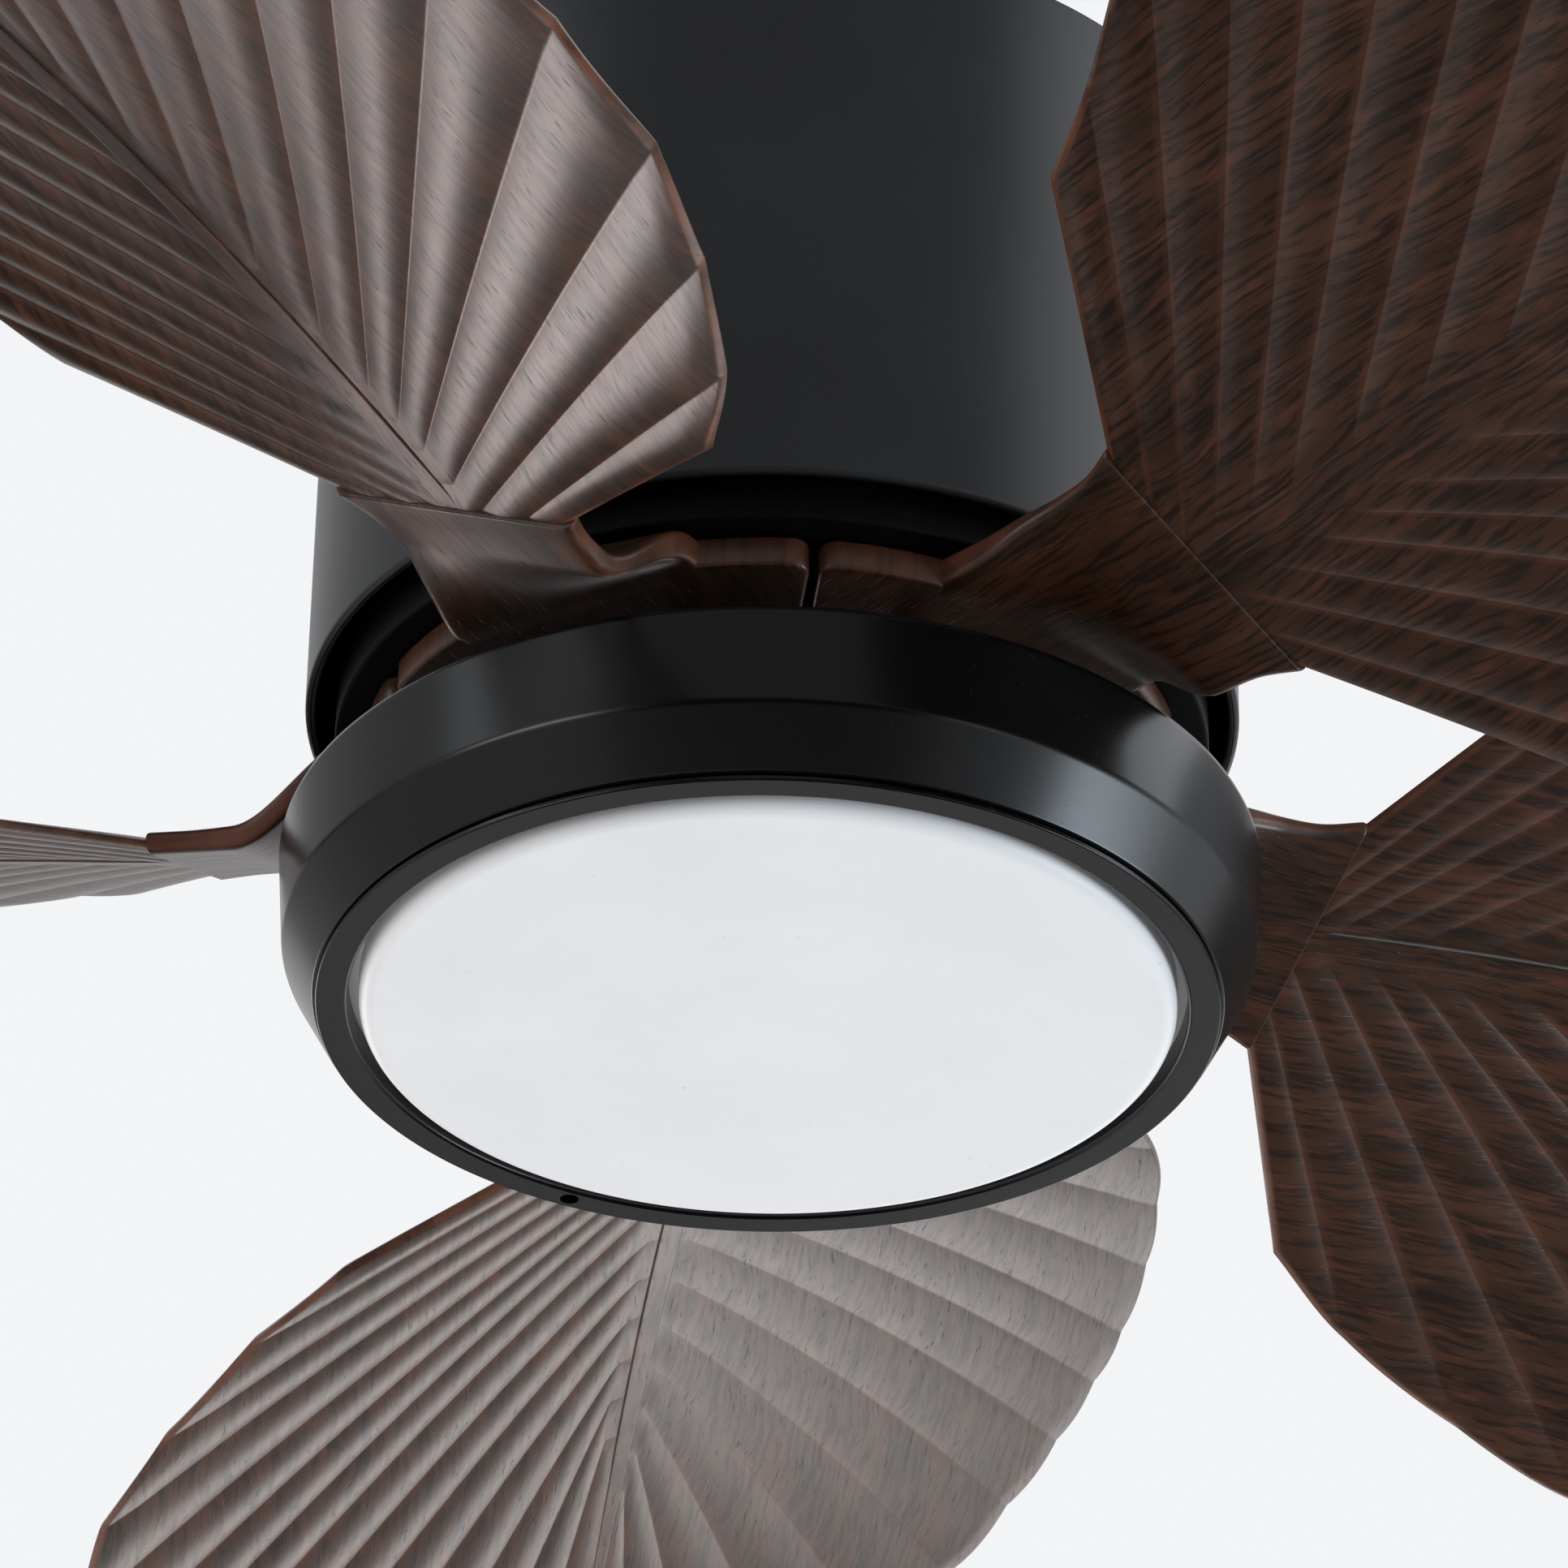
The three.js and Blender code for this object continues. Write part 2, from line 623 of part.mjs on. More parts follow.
function rotorCoverLower() {
  const inner = ROTOR_DISH_R - ROTOR_DISH_WALL;
  const wall = POCKET_R + BEARING_WALL;
  const cover = turned(
    [
      [BEARING_LIP_R, ROTOR_FLOOR_Z],
      [ROTOR_DISH_R - ROTOR_DISH_EDGE, ROTOR_FLOOR_Z],
      [ROTOR_DISH_R, ROTOR_FLOOR_Z + ROTOR_DISH_EDGE],
      [ROTOR_DISH_R, CASE_SEAM_Z],
      [inner, CASE_SEAM_Z],
      [inner, BASE_TOP_Z],
      [wall, BASE_TOP_Z],
      [wall, BASE_TOP_Z + BEARING_HEIGHT],
      [POCKET_R, BASE_TOP_Z + BEARING_HEIGHT],
      [POCKET_R, BASE_TOP_Z],
      [BEARING_LIP_R, BASE_TOP_Z],
    ],
    COARSE,
  );
  const bladeHoles = evenly(BLADE_COUNT).flatMap((turn) =>
    [-1, 1].map((side) =>
      turnedTo(
        holeFor(SCREW, ROTOR_FLOOR_Z - SEAT, BASE_TOP_Z + SEAT).translate(
          BLADE_SCREW_CIRCLE_R,
          0,
          0,
        ),
        BLADE_PHASE + PAD_PHASE + turn + (side * BLADE_SCREW_SPREAD) / 2,
      ),
    ),
  );
  return cut(cover, [...flangeHoles(), ...bladeHoles]);
}

function rotorScrews() {
  const length = ROTOR_SHEET + 2 * SEAT + ROTOR_SCREW_GRIP;
  return evenly(ROTOR_SCREW_COUNT).map((azimuth, i) => {
    const shape = screwShape(SMALL_SCREW, length);
    const screw = piece(`rotor_screw_${i + 1}`, shape, MATERIALS.zinc);
    screw.rotation.x = Math.PI; // head on top
    screw.position.set(FLANGE_SCREW_R, 0, CASE_SEAM_Z + ROTOR_SHEET + 2 * SEAT);
    return facing(azimuth, screw);
  });
}

function bearing(place, bottom) {
  const top = bottom + BEARING_HEIGHT;
  const innerRace = tube(BEARING_INNER_R, BEARING_INNER_R + BEARING_INNER_RACE, bottom, top);
  const outerRace = tube(BEARING_OUTER_R - BEARING_OUTER_RACE, BEARING_OUTER_R, bottom, top);
  return [
    piece(`${place}_bearing_inner_race`, innerRace, MATERIALS.steel),
    piece(`${place}_bearing_outer_race`, outerRace, MATERIALS.steel),
  ];
}

function magnetRing() {
  const half = STATOR_HEIGHT / 2 + MAGNET_OVERHANG;
  return tube(
    MAGNET_INNER_R,
    MAGNET_OUTER_R,
    STATOR_CENTRE_Z - half,
    STATOR_CENTRE_Z + half,
    COARSE,
  );
}

function statorCore() {
  const outline = evenly(TOOTH_COUNT).flatMap((turn) => {
    const half = TOOTH_WIDTH / 2;
    const rootAngle = THREE.MathUtils.radToDeg(Math.asin(half / STATOR_YOKE_R));
    const neckAngle = THREE.MathUtils.radToDeg(Math.asin(half / SHOE_ROOT_R));
    const shoe = TOOTH_SHOE_ANGLE / 2;
    return [
      polar(STATOR_YOKE_R, turn - rootAngle),
      polar(SHOE_ROOT_R, turn - neckAngle),
      ...arc(0, 0, STATOR_R, turn - shoe, turn + shoe, 3),
      polar(SHOE_ROOT_R, turn + neckAngle),
      polar(STATOR_YOKE_R, turn + rootAngle),
    ];
  });
  const shape = new THREE.Shape(outline.map(([x, y]) => new THREE.Vector2(x, y)));
  const core = new THREE.ExtrudeGeometry(shape, {
    depth: STATOR_HEIGHT,
    bevelEnabled: false,
  }).translate(0, 0, STATOR_CENTRE_Z - STATOR_HEIGHT / 2);
  const bore = disc(
    SHAFT_CORE_R + SEAT,
    STATOR_CENTRE_Z - STATOR_HEIGHT,
    STATOR_CENTRE_Z + STATOR_HEIGHT,
  );
  return cut(core, [bore]);
}

// One coil on every second tooth: a rounded frame round the tooth.
function statorCoils() {
  const length = SHOE_ROOT_R - STATOR_YOKE_R - 2 * COIL_GAP;
  const frame = (halfWidth, halfHeight, corner) => [
    ...arc(halfWidth - corner, halfHeight - corner, corner, 0, 90, 2),
    ...arc(corner - halfWidth, halfHeight - corner, corner, 90, 180, 2),
    ...arc(corner - halfWidth, corner - halfHeight, corner, 180, 270, 2),
    ...arc(halfWidth - corner, corner - halfHeight, corner, 270, 360, 2),
  ];
  const toothHalf = TOOTH_WIDTH / 2 + SEAT;
  const stackHalf = STATOR_HEIGHT / 2 + SEAT;
  const vectors = (points) => points.map(([x, y]) => new THREE.Vector2(x, y));
  const outer = frame(toothHalf + COIL_WIDTH, stackHalf + COIL_END, COIL_END / 2);
  const shape = new THREE.Shape(vectors(outer));
  shape.holes.push(new THREE.Path(vectors(frame(toothHalf, stackHalf, SEAT / 2))));
  const coil = new THREE.ExtrudeGeometry(shape, { depth: length, bevelEnabled: false });
  coil.rotateX(Math.PI / 2).rotateZ(Math.PI / 2);
  coil.translate(STATOR_YOKE_R + COIL_GAP, 0, STATOR_CENTRE_Z);
  return evenly(TOOTH_COUNT / 2).map((turn, i) => {
    const mesh = piece(`stator_coil_${i + 1}`, coil, MATERIALS.copper);
    mesh.rotation.z = THREE.MathUtils.degToRad(turn);
    return mesh;
  });
}

// --- Blades ---------------------------------------------------------------
// In a blade's own frame +X runs out along the leaf and +Y is its low edge.

const smooth = (value, from, to) => THREE.MathUtils.smoothstep(value, from, to);

// Height and tilt of the blade's middle surface at a distance from the axis.
function bladeMiddle(radius) {
  const beyond = Math.max(0, radius - SEAM_RADIUS);
  const twist = smooth(radius, TWIST_START, TWIST_END);
  return {
    z: PAD_MIDDLE_Z - SEAM_DROP * twist + LEAF_SLOPE * beyond - LEAF_DROOP * beyond ** 2,
    pitch: THREE.MathUtils.degToRad(LEAF_PITCH) * twist,
  };
}

function bladeThickness(radius) {
  const padded = PAD_THICKNESS - 2 * SEAT;
  const arm = THREE.MathUtils.lerp(
    padded,
    ARM_THICKNESS,
    smooth(radius, TWIST_START, SEAM_RADIUS),
  );
  return THREE.MathUtils.lerp(
    arm,
    LEAF_THICKNESS,
    smooth(radius, SEAM_RADIUS, SEAM_RADIUS + SEAM_BLEND),
  );
}

// The rows of a blade from the pad to the tip, each with its radius and half
// width.
function bladeRows() {
  const through = (list, steps) =>
    new THREE.SplineCurve(list.map(([r, w]) => new THREE.Vector2(r, w))).getPoints(steps);
  const arm = ARM_OUTLINE.map(([distance, w]) => [TWIST_START + distance, w]);
  const leaf = LEAF_OUTLINE.map(([along, across]) => [
    SEAM_RADIUS + along * LEAF_LENGTH,
    across * LEAF_HALF_WIDTH,
  ]);
  return [...through(arm, 5), ...through([arm.at(-1), ...leaf], 12).slice(1)];
}

// Lower and upper skins of pleated rows, joined along both edges and both ends.
function leafAndArm() {
  const columns = 2 * PLEATS_PER_SIDE;
  const rows = bladeRows();
  const positions = [];
  for (const side of [-1, 1]) {
    for (const { x: radius, y: halfWidth } of rows) {
      const { z, pitch } = bladeMiddle(radius);
      const half = bladeThickness(radius) / 2;
      const depth = PLEAT_DEPTH * smooth(radius, SEAM_RADIUS, SEAM_RADIUS + PLEAT_FADE);
      for (let j = 0; j <= columns; j++) {
        const across = (halfWidth * (2 * j - columns)) / columns;
        const pleat = j % 2 ? -depth : depth;
        positions.push(
          radius,
          across * Math.cos(pitch),
          z - across * Math.sin(pitch) + pleat + side * half,
        );
      }
    }
  }
  const wide = columns + 1;
  const skin = rows.length * wide;
  const index = [];
  const quad = (a, b, c, d) => index.push(a, b, c, a, c, d);
  for (let i = 0; i < rows.length - 1; i++) {
    for (let j = 0; j < columns; j++) {
      const a = i * wide + j;
      quad(a, a + 1, a + 1 + wide, a + wide);
      quad(skin + a, skin + a + wide, skin + a + 1 + wide, skin + a + 1);
    }
    const low = i * wide;
    quad(low, low + wide, skin + low + wide, skin + low);
    const high = low + columns;
    quad(high, skin + high, skin + high + wide, high + wide);
  }
  for (let j = 0; j < columns; j++) {
    quad(j, skin + j, skin + j + 1, j + 1);
    const last = (rows.length - 1) * wide + j;
    quad(last, last + 1, skin + last + 1, skin + last);
  }
  const geometry = new THREE.BufferGeometry();
  geometry.setAttribute("position", new THREE.Float32BufferAttribute(positions, 3));
  geometry.setIndex(index);
  return geometry;
}

// The flat root under the rotor: a sector that leaves a gap to its neighbours.
function rootPad() {
  const sector = 180 / BLADE_COUNT;
  const halfAngle = (r, inset) => sector - THREE.MathUtils.radToDeg(Math.asin(inset / r));
  const side = PAD_GAP / 2 + PAD_EDGE;
  const outer = PAD_OUTER_R - PAD_EDGE;
  const shoulder = outer - PAD_CORNER;
  const inner = PAD_INNER_R + PAD_EDGE;
  const front = halfAngle(outer, side + PAD_CORNER);
  const back = halfAngle(inner, side);
  const outline = [
    polar(shoulder, -halfAngle(shoulder, side)),
    ...arc(0, 0, outer, -front, front, 8),
    polar(shoulder, halfAngle(shoulder, side)),
    ...arc(0, 0, inner, back, -back, 4),
  ].map(([x, y]) => new THREE.Vector2(x, y));
  const pad = new THREE.ExtrudeGeometry(new THREE.Shape(outline), {
    depth: PAD_THICKNESS - 2 * PAD_EDGE,
    bevelThickness: PAD_EDGE,
    bevelSize: PAD_EDGE,
    bevelSegments: 1,
  });
  pad.translate(0, 0, PAD_TOP_Z - PAD_THICKNESS + PAD_EDGE);
  return pad.rotateZ(THREE.MathUtils.degToRad(PAD_PHASE));
}

const bladeScrewAngles = [-1, 1].map((side) => PAD_PHASE + (side * BLADE_SCREW_SPREAD) / 2);

function bladeShape() {
  const holes = bladeScrewAngles.map((angle) =>
    holeFor(SCREW, PAD_TOP_Z - 2 * PAD_THICKNESS, PAD_TOP_Z + PAD_THICKNESS)
      .translate(BLADE_SCREW_CIRCLE_R, 0, 0)
      .rotateZ(THREE.MathUtils.degToRad(angle)),
  );
  return cut(join(rootPad(), [leafAndArm()]), holes);
}

function blades() {
  const shape = bladeShape();
  const headFace = PAD_TOP_Z - PAD_THICKNESS - SEAT;
  const screw = screwShape(SCREW, BASE_TOP_Z - headFace + SEAT);
  return evenly(BLADE_COUNT).map((turn, i) => {
    const screws = bladeScrewAngles.map((angle, k) => {
      const mesh = piece(`blade_screw_${2 * i + k + 1}`, screw, MATERIALS.zinc);
      mesh.position.set(BLADE_SCREW_CIRCLE_R, 0, headFace);
      const arm = new THREE.Group();
      arm.rotation.z = THREE.MathUtils.degToRad(angle);
      arm.add(mesh);
      return arm;
    });
    const blade = piece(`blade_${i + 1}`, shape, MATERIALS.darkWood);
    return facing(BLADE_PHASE + turn, blade, ...screws);
  });
}

// --- Lamp -----------------------------------------------------------------

// Inside of the pan's cone at a height.
const coneInside = (z) =>
  PAN_MOUTH_R -
  PAN_SHEET +
  ((PAN_WALL_R - PAN_MOUTH_R) * (z - PAN_MOUTH_Z)) / (PAN_WALL_Z - PAN_MOUTH_Z);

const roundHoles = (azimuths, circleR, holeR, low, high) =>
  azimuths.map((azimuth) =>
    turnedTo(disc(holeR, low, high, TINY).translate(circleR, 0, 0), azimuth),
  );

const panScrewHoles = () =>
  roundHoles(
    evenly(PAN_SCREW_COUNT),
    PAN_SCREW_CIRCLE_R,
    SCREW.shank + SCREW_PLAY,
    PAN_TOP_Z - 2 * PAN_SHEET,
    BRACKET_TOP_Z + PAN_SHEET,
  );

function lightBracket() {
  return cut(
    tube(SHAFT_THREAD_R + SEAT, BRACKET_R, BRACKET_BOTTOM_Z, BRACKET_TOP_Z, COARSE),
    panScrewHoles(),
  );
}

function lightPan() {
  const shelfBottom = PAN_SHELF_Z - PAN_SHEET;
  const shelfR = DIFFUSER_FLANGE_R - PAN_SHEET;
  const pan = turned(
    [
      [PAN_MOUTH_R - PAN_SHEET, PAN_MOUTH_Z],
      [PAN_MOUTH_R, PAN_MOUTH_Z],
      [PAN_WALL_R, PAN_WALL_Z],
      [PAN_TOP_R, PAN_TOP_Z - PAN_EDGE],
      [PAN_TOP_R - PAN_EDGE, PAN_TOP_Z],
      [PAN_HOLE_R, PAN_TOP_Z],
      [PAN_HOLE_R, PAN_TOP_Z - PAN_SHEET],
      [PAN_TOP_R - PAN_EDGE - PAN_SHEET, PAN_TOP_Z - PAN_SHEET],
      [PAN_WALL_R - PAN_SHEET, PAN_WALL_Z],
      [coneInside(PAN_SHELF_Z), PAN_SHELF_Z],
      [shelfR, PAN_SHELF_Z],
      [shelfR, shelfBottom],
      [coneInside(shelfBottom), shelfBottom],
    ],
    FINE,
  );
  const postHoles = roundHoles(
    POST_AZIMUTHS,
    POST_CIRCLE_R,
    POST_STUD_R + SCREW_PLAY,
    PAN_TOP_Z - 2 * PAN_SHEET,
    PAN_TOP_Z + PAN_SHEET,
  );
  const lockHole = roundHoles(
    [LOCK_SCREW_AZIMUTH],
    LOCK_CIRCLE_R,
    SCREW.shank + SCREW_PLAY,
    shelfBottom - PAN_SHEET,
    PAN_SHELF_Z + PAN_SHEET,
  );
  return cut(pan, [...panScrewHoles(), ...postHoles, ...lockHole]);
}

function lightPanScrews() {
  const headFace = DRIVER_TOP_Z;
  return evenly(PAN_SCREW_COUNT).map((azimuth, i) => {
    const shape = screwShape(SCREW, BRACKET_TOP_Z - headFace + SEAT);
    const screw = piece(`light_pan_screw_${i + 1}`, shape, MATERIALS.zinc);
    screw.position.set(PAN_SCREW_CIRCLE_R, 0, headFace);
    return facing(azimuth, screw);
  });
}

function trimRing() {
  const curlTop = FLANGE_TOP_Z - DIFFUSER_WALL - SEAT;
  const ring = turned(
    [
      [LIP_INNER_R + LIP_EDGE, LIP_BOTTOM_Z],
      [LIP_OUTER_R, LIP_BOTTOM_Z],
      [LIP_OUTER_R, LIP_TOP_Z],
      [SKIRT_R, LIP_TOP_Z],
      [SKIRT_R, FLANGE_TOP_Z],
      [SKIRT_R - LIP_SHEET / 2, FLANGE_TOP_Z],
      [SKIRT_R - LIP_SHEET / 2, LIP_TOP_Z],
      [LIP_INNER_R + LIP_SHEET, LIP_TOP_Z],
      [LIP_INNER_R + LIP_SHEET, curlTop],
      [LIP_INNER_R, curlTop],
      [LIP_INNER_R, LIP_BOTTOM_Z + LIP_EDGE],
    ],
    FINE,
  );
  return cut(
    ring,
    roundHoles(
      [LOCK_SCREW_AZIMUTH],
      LOCK_CIRCLE_R,
      LOCK_HOLE_R,
      LIP_BOTTOM_Z - LIP_SHEET,
      LIP_TOP_Z + SEAT,
    ),
  );
}

function trimLockScrew() {
  const low = LIP_TOP_Z + LOCK_SCREW_RECESS;
  const screw = disc(SCREW.shank, low, low + LOCK_SCREW_LENGTH, TINY);
  return turnedTo(screw.translate(LOCK_CIRCLE_R, 0, 0), LOCK_SCREW_AZIMUTH);
}

function diffuser() {
  const face = LIP_BOTTOM_Z - DIFFUSER_PROUD;
  const flangeBottom = FLANGE_TOP_Z - DIFFUSER_WALL;
  const centre = DIFFUSER_R - DIFFUSER_SHOULDER;
  const bendZ = face + DIFFUSER_SHOULDER;
  return turned(
    [
      [0, face],
      ...arc(centre, bendZ, DIFFUSER_SHOULDER, -90, 0, 3),
      [DIFFUSER_R, flangeBottom],
      [DIFFUSER_FLANGE_R, flangeBottom],
      [DIFFUSER_FLANGE_R, FLANGE_TOP_Z],
      [DIFFUSER_R - DIFFUSER_WALL, FLANGE_TOP_Z],
      ...arc(centre, bendZ, DIFFUSER_SHOULDER - DIFFUSER_WALL, 0, -90, 2),
      [0, face + DIFFUSER_WALL],
    ],
    FINE,
  );
}

const POST_AZIMUTHS = evenly(3).map((azimuth) => azimuth + POST_PHASE);

function ledBoard() {
  const low = BOARD_TOP_Z - BOARD_SHEET;
  return cut(
    disc(BOARD_R, low, BOARD_TOP_Z, COARSE),
    roundHoles(
      POST_AZIMUTHS,
      POST_CIRCLE_R,
      POST_STUD_R + SCREW_PLAY,
      low - BOARD_SHEET,
      BOARD_TOP_Z + BOARD_SHEET,
    ),
  );
}

// Snap-in posts that carry the LED board under the pan's top.
function ledPosts() {
  const shoulder = PAN_TOP_Z - PAN_SHEET - SEAT;
  const boardBottom = BOARD_TOP_Z - BOARD_SHEET;
  const barb = boardBottom - SEAT;
  const shape = turned(
    [
      [0, barb - POST_BARB_R],
      [POST_STUD_R, barb - POST_BARB_R],
      [POST_BARB_R, barb],
      [POST_STUD_R, barb],
      [POST_STUD_R, BOARD_TOP_Z + SEAT],
      [POST_R, BOARD_TOP_Z + SEAT],
      [POST_R, shoulder],
      [POST_STUD_R, shoulder],
      [POST_STUD_R, PAN_TOP_Z - SEAT],
      [0, PAN_TOP_Z - SEAT],
    ],
    TINY,
  ).translate(POST_CIRCLE_R, 0, 0);
  return POST_AZIMUTHS.map((azimuth, i) =>
    facing(azimuth, piece(`led_post_${i + 1}`, shape, MATERIALS.plastic)),
  );
}

const ledDriver = () =>
  block(
    DRIVER_SIZE,
    0,
    DRIVER_OFFSET + DRIVER_SIZE.y / 2,
    DRIVER_TOP_Z - DRIVER_SIZE.z / 2,
  );

// --- Wiring ---------------------------------------------------------------

// The receiver fills the space between the hanger and the plate's rim, in whole
// millimetres of length.
const RIM_INNER_R = PLATE_R - PLATE_SHEET;
const RECEIVER_INNER_X = HANGER_FLANGE_R + WIRING_GAP;
const RECEIVER_OUTER_X = RIM_INNER_R - RECEIVER_FACE_GAP;
const RECEIVER_CORNER_R = RIM_INNER_R - RECEIVER_CORNER_GAP;
const RECEIVER_SIZE = {
  x: RECEIVER_OUTER_X - RECEIVER_INNER_X,
  y: 2 * Math.floor(Math.sqrt(RECEIVER_CORNER_R ** 2 - RECEIVER_OUTER_X ** 2)),
  z: RECEIVER_HEIGHT,
};
const RECEIVER_X = (RECEIVER_INNER_X + RECEIVER_OUTER_X) / 2;
const RECEIVER_BOTTOM_Z = HANGER_TOP_Z - RECEIVER_SIZE.z;

const receiverBox = () =>
  block(RECEIVER_SIZE, RECEIVER_X, 0, RECEIVER_BOTTOM_Z + RECEIVER_SIZE.z / 2);

const terminalBlock = () =>
  block(
    TERMINAL_SIZE,
    -HANGER_FLANGE_R - WIRING_GAP - TERMINAL_SIZE.x / 2,
    0,
    HANGER_TOP_Z - TERMINAL_SIZE.z / 2,
  );

// The lamp's lead: from the receiver through the hanger's window, down the
// hollow shaft and round to the LED driver.
function lampLead() {
  const shaftTop = HUB_TOP_Z + NUT_HEIGHT + THREAD_SPARE;
  const shaftBottom = BRACKET_BOTTOM_Z - NUT_HEIGHT - THREAD_SPARE;
  const turnZ = (shaftBottom + BOARD_TOP_Z) / 2;
  const route = new THREE.CatmullRomCurve3(
    [
      [RECEIVER_X, 0, RECEIVER_BOTTOM_Z - SEAT],
      [RECEIVER_X, 0, RECEIVER_BOTTOM_Z - 8],
      [HANGER_MOUTH_R, 0, WINDOW_Z + 2],
      [12, 0, WINDOW_Z - 4],
      [1, 0, shaftTop + 8],
      [0, 0, shaftTop - 6],
      [0, 0, (shaftTop + shaftBottom) / 2],
      [0, 0, shaftBottom + 10],
      [0, 0.3, shaftBottom + 2],
      [0, 6, turnZ + 1],
      [0, 16, turnZ],
      [0, DRIVER_OFFSET - SEAT, turnZ],
    ].map(([x, y, z]) => new THREE.Vector3(x, y, z)),
  );
  const section = arc(0, 0, LEAD_R, 0, 360, 6).slice(0, -1);
  return new THREE.ExtrudeGeometry(
    new THREE.Shape(section.map(([x, y]) => new THREE.Vector2(x, y))),
    { steps: Math.round(route.getLength() / LEAD_STEP), extrudePath: route },
  );
}

// --- Assembly -------------------------------------------------------------

const fan = new THREE.Group();
fan.add(
  piece("ceiling_plate", ceilingPlate(), MATERIALS.darkPaint),
  piece("housing_shell", housingShell(), MATERIALS.blackPaint),
  ...housingScrews(),
  piece("motor_hanger", motorHanger(), MATERIALS.darkPaint),
  ...hangerScrews(),
  piece("motor_shaft", motorShaft(), MATERIALS.steel),
  piece("shaft_nut_top", hexNut(HUB_TOP_Z + SEAT), MATERIALS.zinc),
  piece("stator_core", statorCore(), MATERIALS.laminations),
  ...statorCoils(),
  ...bearing("upper", UPPER_BEARING_Z),
  ...bearing("lower", LOWER_BEARING_Z),
  piece("rotor_cover_upper", rotorCoverUpper(), MATERIALS.darkPaint),
  piece("rotor_cover_lower", rotorCoverLower(), MATERIALS.darkPaint),
  ...rotorScrews(),
  piece("magnet_ring", magnetRing(), MATERIALS.magnet),
  ...blades(),
  piece("light_bracket", lightBracket(), MATERIALS.darkPaint),
  piece("shaft_nut_bottom", hexNut(BRACKET_BOTTOM_Z - SEAT - NUT_HEIGHT), MATERIALS.zinc),
  piece("light_pan", lightPan(), MATERIALS.blackPaint),
  ...lightPanScrews(),
  piece("trim_ring", trimRing(), MATERIALS.blackPaint),
  piece("trim_lock_screw", trimLockScrew(), MATERIALS.zinc),
  piece("diffuser", diffuser(), MATERIALS.opal),
  piece("led_board", ledBoard(), MATERIALS.whiteBoard),
  ...ledPosts(),
  piece("led_driver", ledDriver(), MATERIALS.plastic),
  piece("receiver_box", receiverBox(), MATERIALS.plastic),
  piece("terminal_block", terminalBlock(), MATERIALS.plastic),
  piece("lamp_lead", lampLead(), MATERIALS.lead),
);

export default fan;
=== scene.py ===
"""Looks of a flush ceiling fan: five palm-leaf blades of dark wood on an outer rotor, a
charcoal housing above them and a round black lamp with an opal diffuser below.

Lengths are millimetres until a mesh is made. The ceiling is at z = 0, a blade's own frame
has +X out along the leaf and +Y towards its low edge, and an azimuth counts from -Y
towards +X, in degrees.
"""

import math

import bmesh
import bpy
import numpy as np
from mathutils import Matrix, Vector


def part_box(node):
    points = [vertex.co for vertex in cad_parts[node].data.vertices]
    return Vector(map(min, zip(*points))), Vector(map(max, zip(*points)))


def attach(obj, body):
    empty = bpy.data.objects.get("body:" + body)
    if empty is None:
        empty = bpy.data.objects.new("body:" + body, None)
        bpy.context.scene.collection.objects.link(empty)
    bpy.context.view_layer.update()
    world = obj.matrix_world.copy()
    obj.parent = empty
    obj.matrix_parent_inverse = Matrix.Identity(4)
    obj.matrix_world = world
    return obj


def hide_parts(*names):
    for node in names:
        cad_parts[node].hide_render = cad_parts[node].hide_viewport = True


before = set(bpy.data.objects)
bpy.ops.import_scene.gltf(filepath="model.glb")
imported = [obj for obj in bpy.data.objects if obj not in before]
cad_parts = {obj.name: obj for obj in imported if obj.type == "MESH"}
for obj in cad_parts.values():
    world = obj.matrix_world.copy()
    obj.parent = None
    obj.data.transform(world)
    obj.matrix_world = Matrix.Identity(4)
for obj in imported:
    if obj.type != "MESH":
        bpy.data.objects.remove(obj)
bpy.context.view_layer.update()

MM = 0.001  # metres in a millimetre

# --- Sizes -------------------------------------------------------------------

# Camera, as the photograph was taken. Its angles are in radians.
IMAGE_WIDTH = 1932  # pixels
FOCAL_LENGTH = 8752.85  # pixels
SENSOR_WIDTH = 36
CAMERA_PLACE = (0, -1623.7, -1195)
CAMERA_TILT = 0.555  # above the horizon
CAMERA_HEADING = 0.0021  # from +Y towards +X
CAMERA_ROLL = 0.0137
CLIP_NEAR, CLIP_FAR = 0.05, 100  # metres

# Blades
BLADE_COUNT = 5
FIRST_AZIMUTH = 42.3
PAD_TURN = -0.8  # degrees that a root pad sits behind its leaf
PAD_INNER_R = 55
PAD_OUTER_R = 110
PAD_THICKNESS = 9.2
PAD_GAP = 2.2  # between two pads
PAD_CORNER = 5  # rounding of the pad's outline
PAD_EDGE = 1.4  # rounding of its outer edges
PAD_SECTOR = 36  # degrees, half the angle of one pad
TWIST_START = 106  # the arm turns to the leaf's pitch from here
TWIST_END = 141  # to here
ARM_START = 94  # hidden in the pad
SEAM_R = 163  # where the arm ends on the leaf
SEAM_DROP = 8
LEAF_PITCH = 25.3  # degrees
LEAF_SLOPE = 0.144  # climb for each millimetre beyond the seam
LEAF_DROOP = 4.03e-4  # what the square of that distance takes off again
LEAF_THICKNESS = 4
ARM_THICKNESS = 5.9
ARM_EDGE = 2.6  # rounding of the arm's sides
ARM_END_EDGE = 0.7  # easing of its end
ARM_PROUD = 0.3  # how much thicker than the pad the arm is where they meet
ARM_TUCK = 0.7  # how much thinner it starts, inside the pad
# Half widths of the arm at distances from the axis.
ARM_OUTLINE = [
    (92, 37), (106, 36.5), (118, 34.5), (130, 34.3), (141, 34.4), (152, 35.6), (163, 39.5),
]
